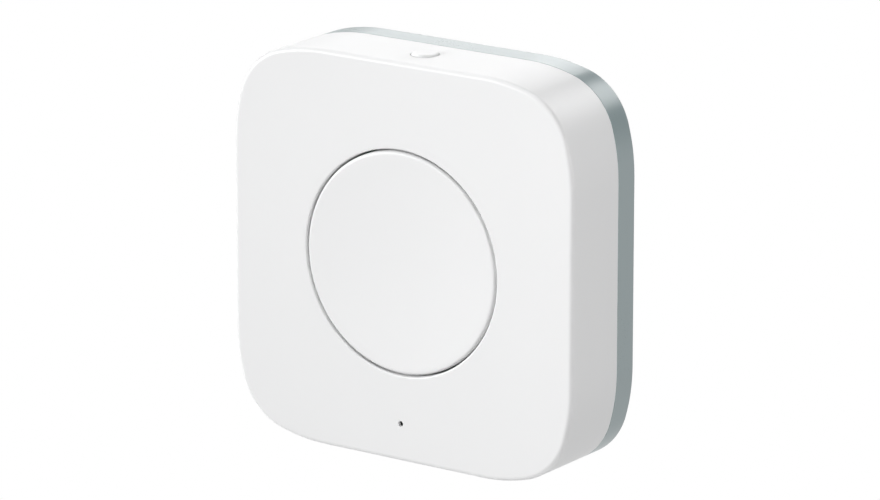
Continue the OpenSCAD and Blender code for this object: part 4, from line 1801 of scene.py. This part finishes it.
@dataclass(frozen=True)
class SoftBox:
    """Square area light that faces a point on the smart button."""

    name: str
    azimuth: float
    elevation: float
    distance: float
    size: float
    power: float

    def hang(self, aim: Spot) -> None:
        """Adds the light.

        Args:
            aim: Point that it faces, in millimetres.
        """
        light = bpy.data.lights.new(self.name, "AREA")
        light.shape = "SQUARE"
        light.size = self.size * MM
        light.energy = self.power
        lamp = placed(self.name, light)
        way = compass(self.azimuth, self.elevation)
        turn = (-way).to_track_quat("-Z", "Y").to_matrix().to_4x4()
        lamp.matrix_world = Matrix.Translation((Vector(aim) + way * self.distance) * MM) @ turn
        lamp.visible_camera = False


@dataclass
class Studio:
    """Plain pale floor, soft lights and the camera at the photograph's angle.

    The floor's size and the camera's nearest distance are in metres.
    """

    azimuth: float = 35.239
    elevation: float = 15.523
    distance: float = 615.81
    lens: float = 230.23
    sensor: float = 36.0
    nearest: float = 0.01
    aim: Spot = (0.0, -0.15, 22.5)
    shift_right: float = 0.82
    shift_up: float = 0.17
    floor_size: float = 8.0
    floor_glow: float = 1.0
    sky: float = 0.01
    boxes: tuple[SoftBox, ...] = (
        SoftBox("key_box", -45.0, 10.0, 1500.0, 400.0, 19.5),
        SoftBox("left_box", -65.0, 10.0, 1500.0, 400.0, 2.6),
        SoftBox("right_box", 85.0, 7.0, 1500.0, 450.0, 10.2),
        SoftBox("top_box", 160.0, 40.0, 500.0, 260.0, 0.84),
        SoftBox("over_box", 35.0, 80.0, 1500.0, 700.0, 4.7),
        SoftBox("edge_box", -105.0, 55.0, 1500.0, 600.0, 4.9),
        SoftBox("back_box", -145.0, 28.0, 1500.0, 700.0, 4.4),
        SoftBox("rim_box", -145.0, 16.0, 1500.0, 700.0, 1.2),
        SoftBox("near_box", 26.6, 7.4, 135.3, 50.0, 0.0431),
        SoftBox("low_box", 10.0, -9.0, 130.0, 10.0, 0.004),
        SoftBox("bounce_box", 180.0, -86.0, 1500.0, 700.0, 8.0),
    )

    def build(self) -> None:
        """Sets up the floor, the lights and the camera."""
        self._floor()
        self._sky()
        for box in self.boxes:
            box.hang(self.aim)
        self._camera()
        bpy.context.scene.view_settings.view_transform = "Standard"

    def _floor(self) -> None:
        """Lays a floor that glows, lights no matt surface and lets the light under it through."""
        half = self.floor_size / 2
        ring = [(-half, -half, 0), (half, -half, 0), (half, half, 0), (-half, half, 0)]
        mesh = bpy.data.meshes.new("floor")
        mesh.from_pydata(ring, [], [(0, 1, 2, 3)])
        floor = placed("floor", mesh)
        paper = bpy.data.materials.new("pale_floor")
        graph = Graph.empty(paper)
        glow = graph.read("ShaderNodeEmission", {"Color": PURE_WHITE, "Strength": self.floor_glow})
        graph.node("ShaderNodeOutputMaterial", {"Surface": glow})
        mesh.materials.append(paper)
        floor.visible_diffuse = False
        floor.visible_shadow = False

    def _sky(self) -> None:
        """Sets the light from all round."""
        world = bpy.data.worlds.new("studio")
        bpy.context.scene.world = world
        graph = Graph.empty(world)
        glow = graph.read("ShaderNodeBackground", {"Color": PURE_WHITE, "Strength": self.sky})
        graph.node("ShaderNodeOutputWorld", {"Surface": glow})

    def _camera(self) -> None:
        """Puts the camera where the photograph was taken from."""
        back = compass(self.azimuth, self.elevation)
        right = Vector((0.0, 0.0, 1.0)).cross(back).normalized()
        up = back.cross(right)
        place = Vector(self.aim) + right * self.shift_right + up * self.shift_up + back * self.distance
        data = bpy.data.cameras.new("camera")
        data.sensor_fit = "HORIZONTAL"
        data.sensor_width = self.sensor
        data.lens = self.lens
        data.clip_start = self.nearest
        camera = placed("camera", data)
        turn = Matrix((right, up, back)).transposed().to_4x4()
        camera.matrix_world = Matrix.Translation(place * MM) @ turn
        bpy.context.scene.camera = camera


def main() -> None:
    """Loads the frame, builds every sub-assembly in order and sets up the studio."""
    logging.basicConfig(level=logging.INFO, format="%(message)s")
    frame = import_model()
    low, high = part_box("front_case")
    stand = Stand(low.y / MM, (low.z + high.z) / 2 / MM)
    outline = CasingOutline((high.x - low.x) / 2 / MM)
    seam = (high.y - low.y) / MM
    back = (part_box("rear_case")[1].y - low.y) / MM
    shop = Workshop(stand, outline, Palette(), frame["nodes"], TurnedShape(), RepeatedShape())
    FrontShell(shop, seam).build()
    MainButton(shop).build()
    ResetKey(shop).build()
    RearShell(shop, seam, back).build()
    BatteryDoor(shop, back).build()
    TapeRing(shop, back).build()
    BoardFittings(shop).build()
    SnapDome(shop, "main_switch_dome", "button_press", Axis.DEPTH, travel=0.3).build()
    SnapDome(shop, "reset_switch_dome", "reset_press", Axis.UP, travel=0.25).build()
    HiddenParts(shop).build()
    Studio().build()


if __name__ == "__main__":
    main()
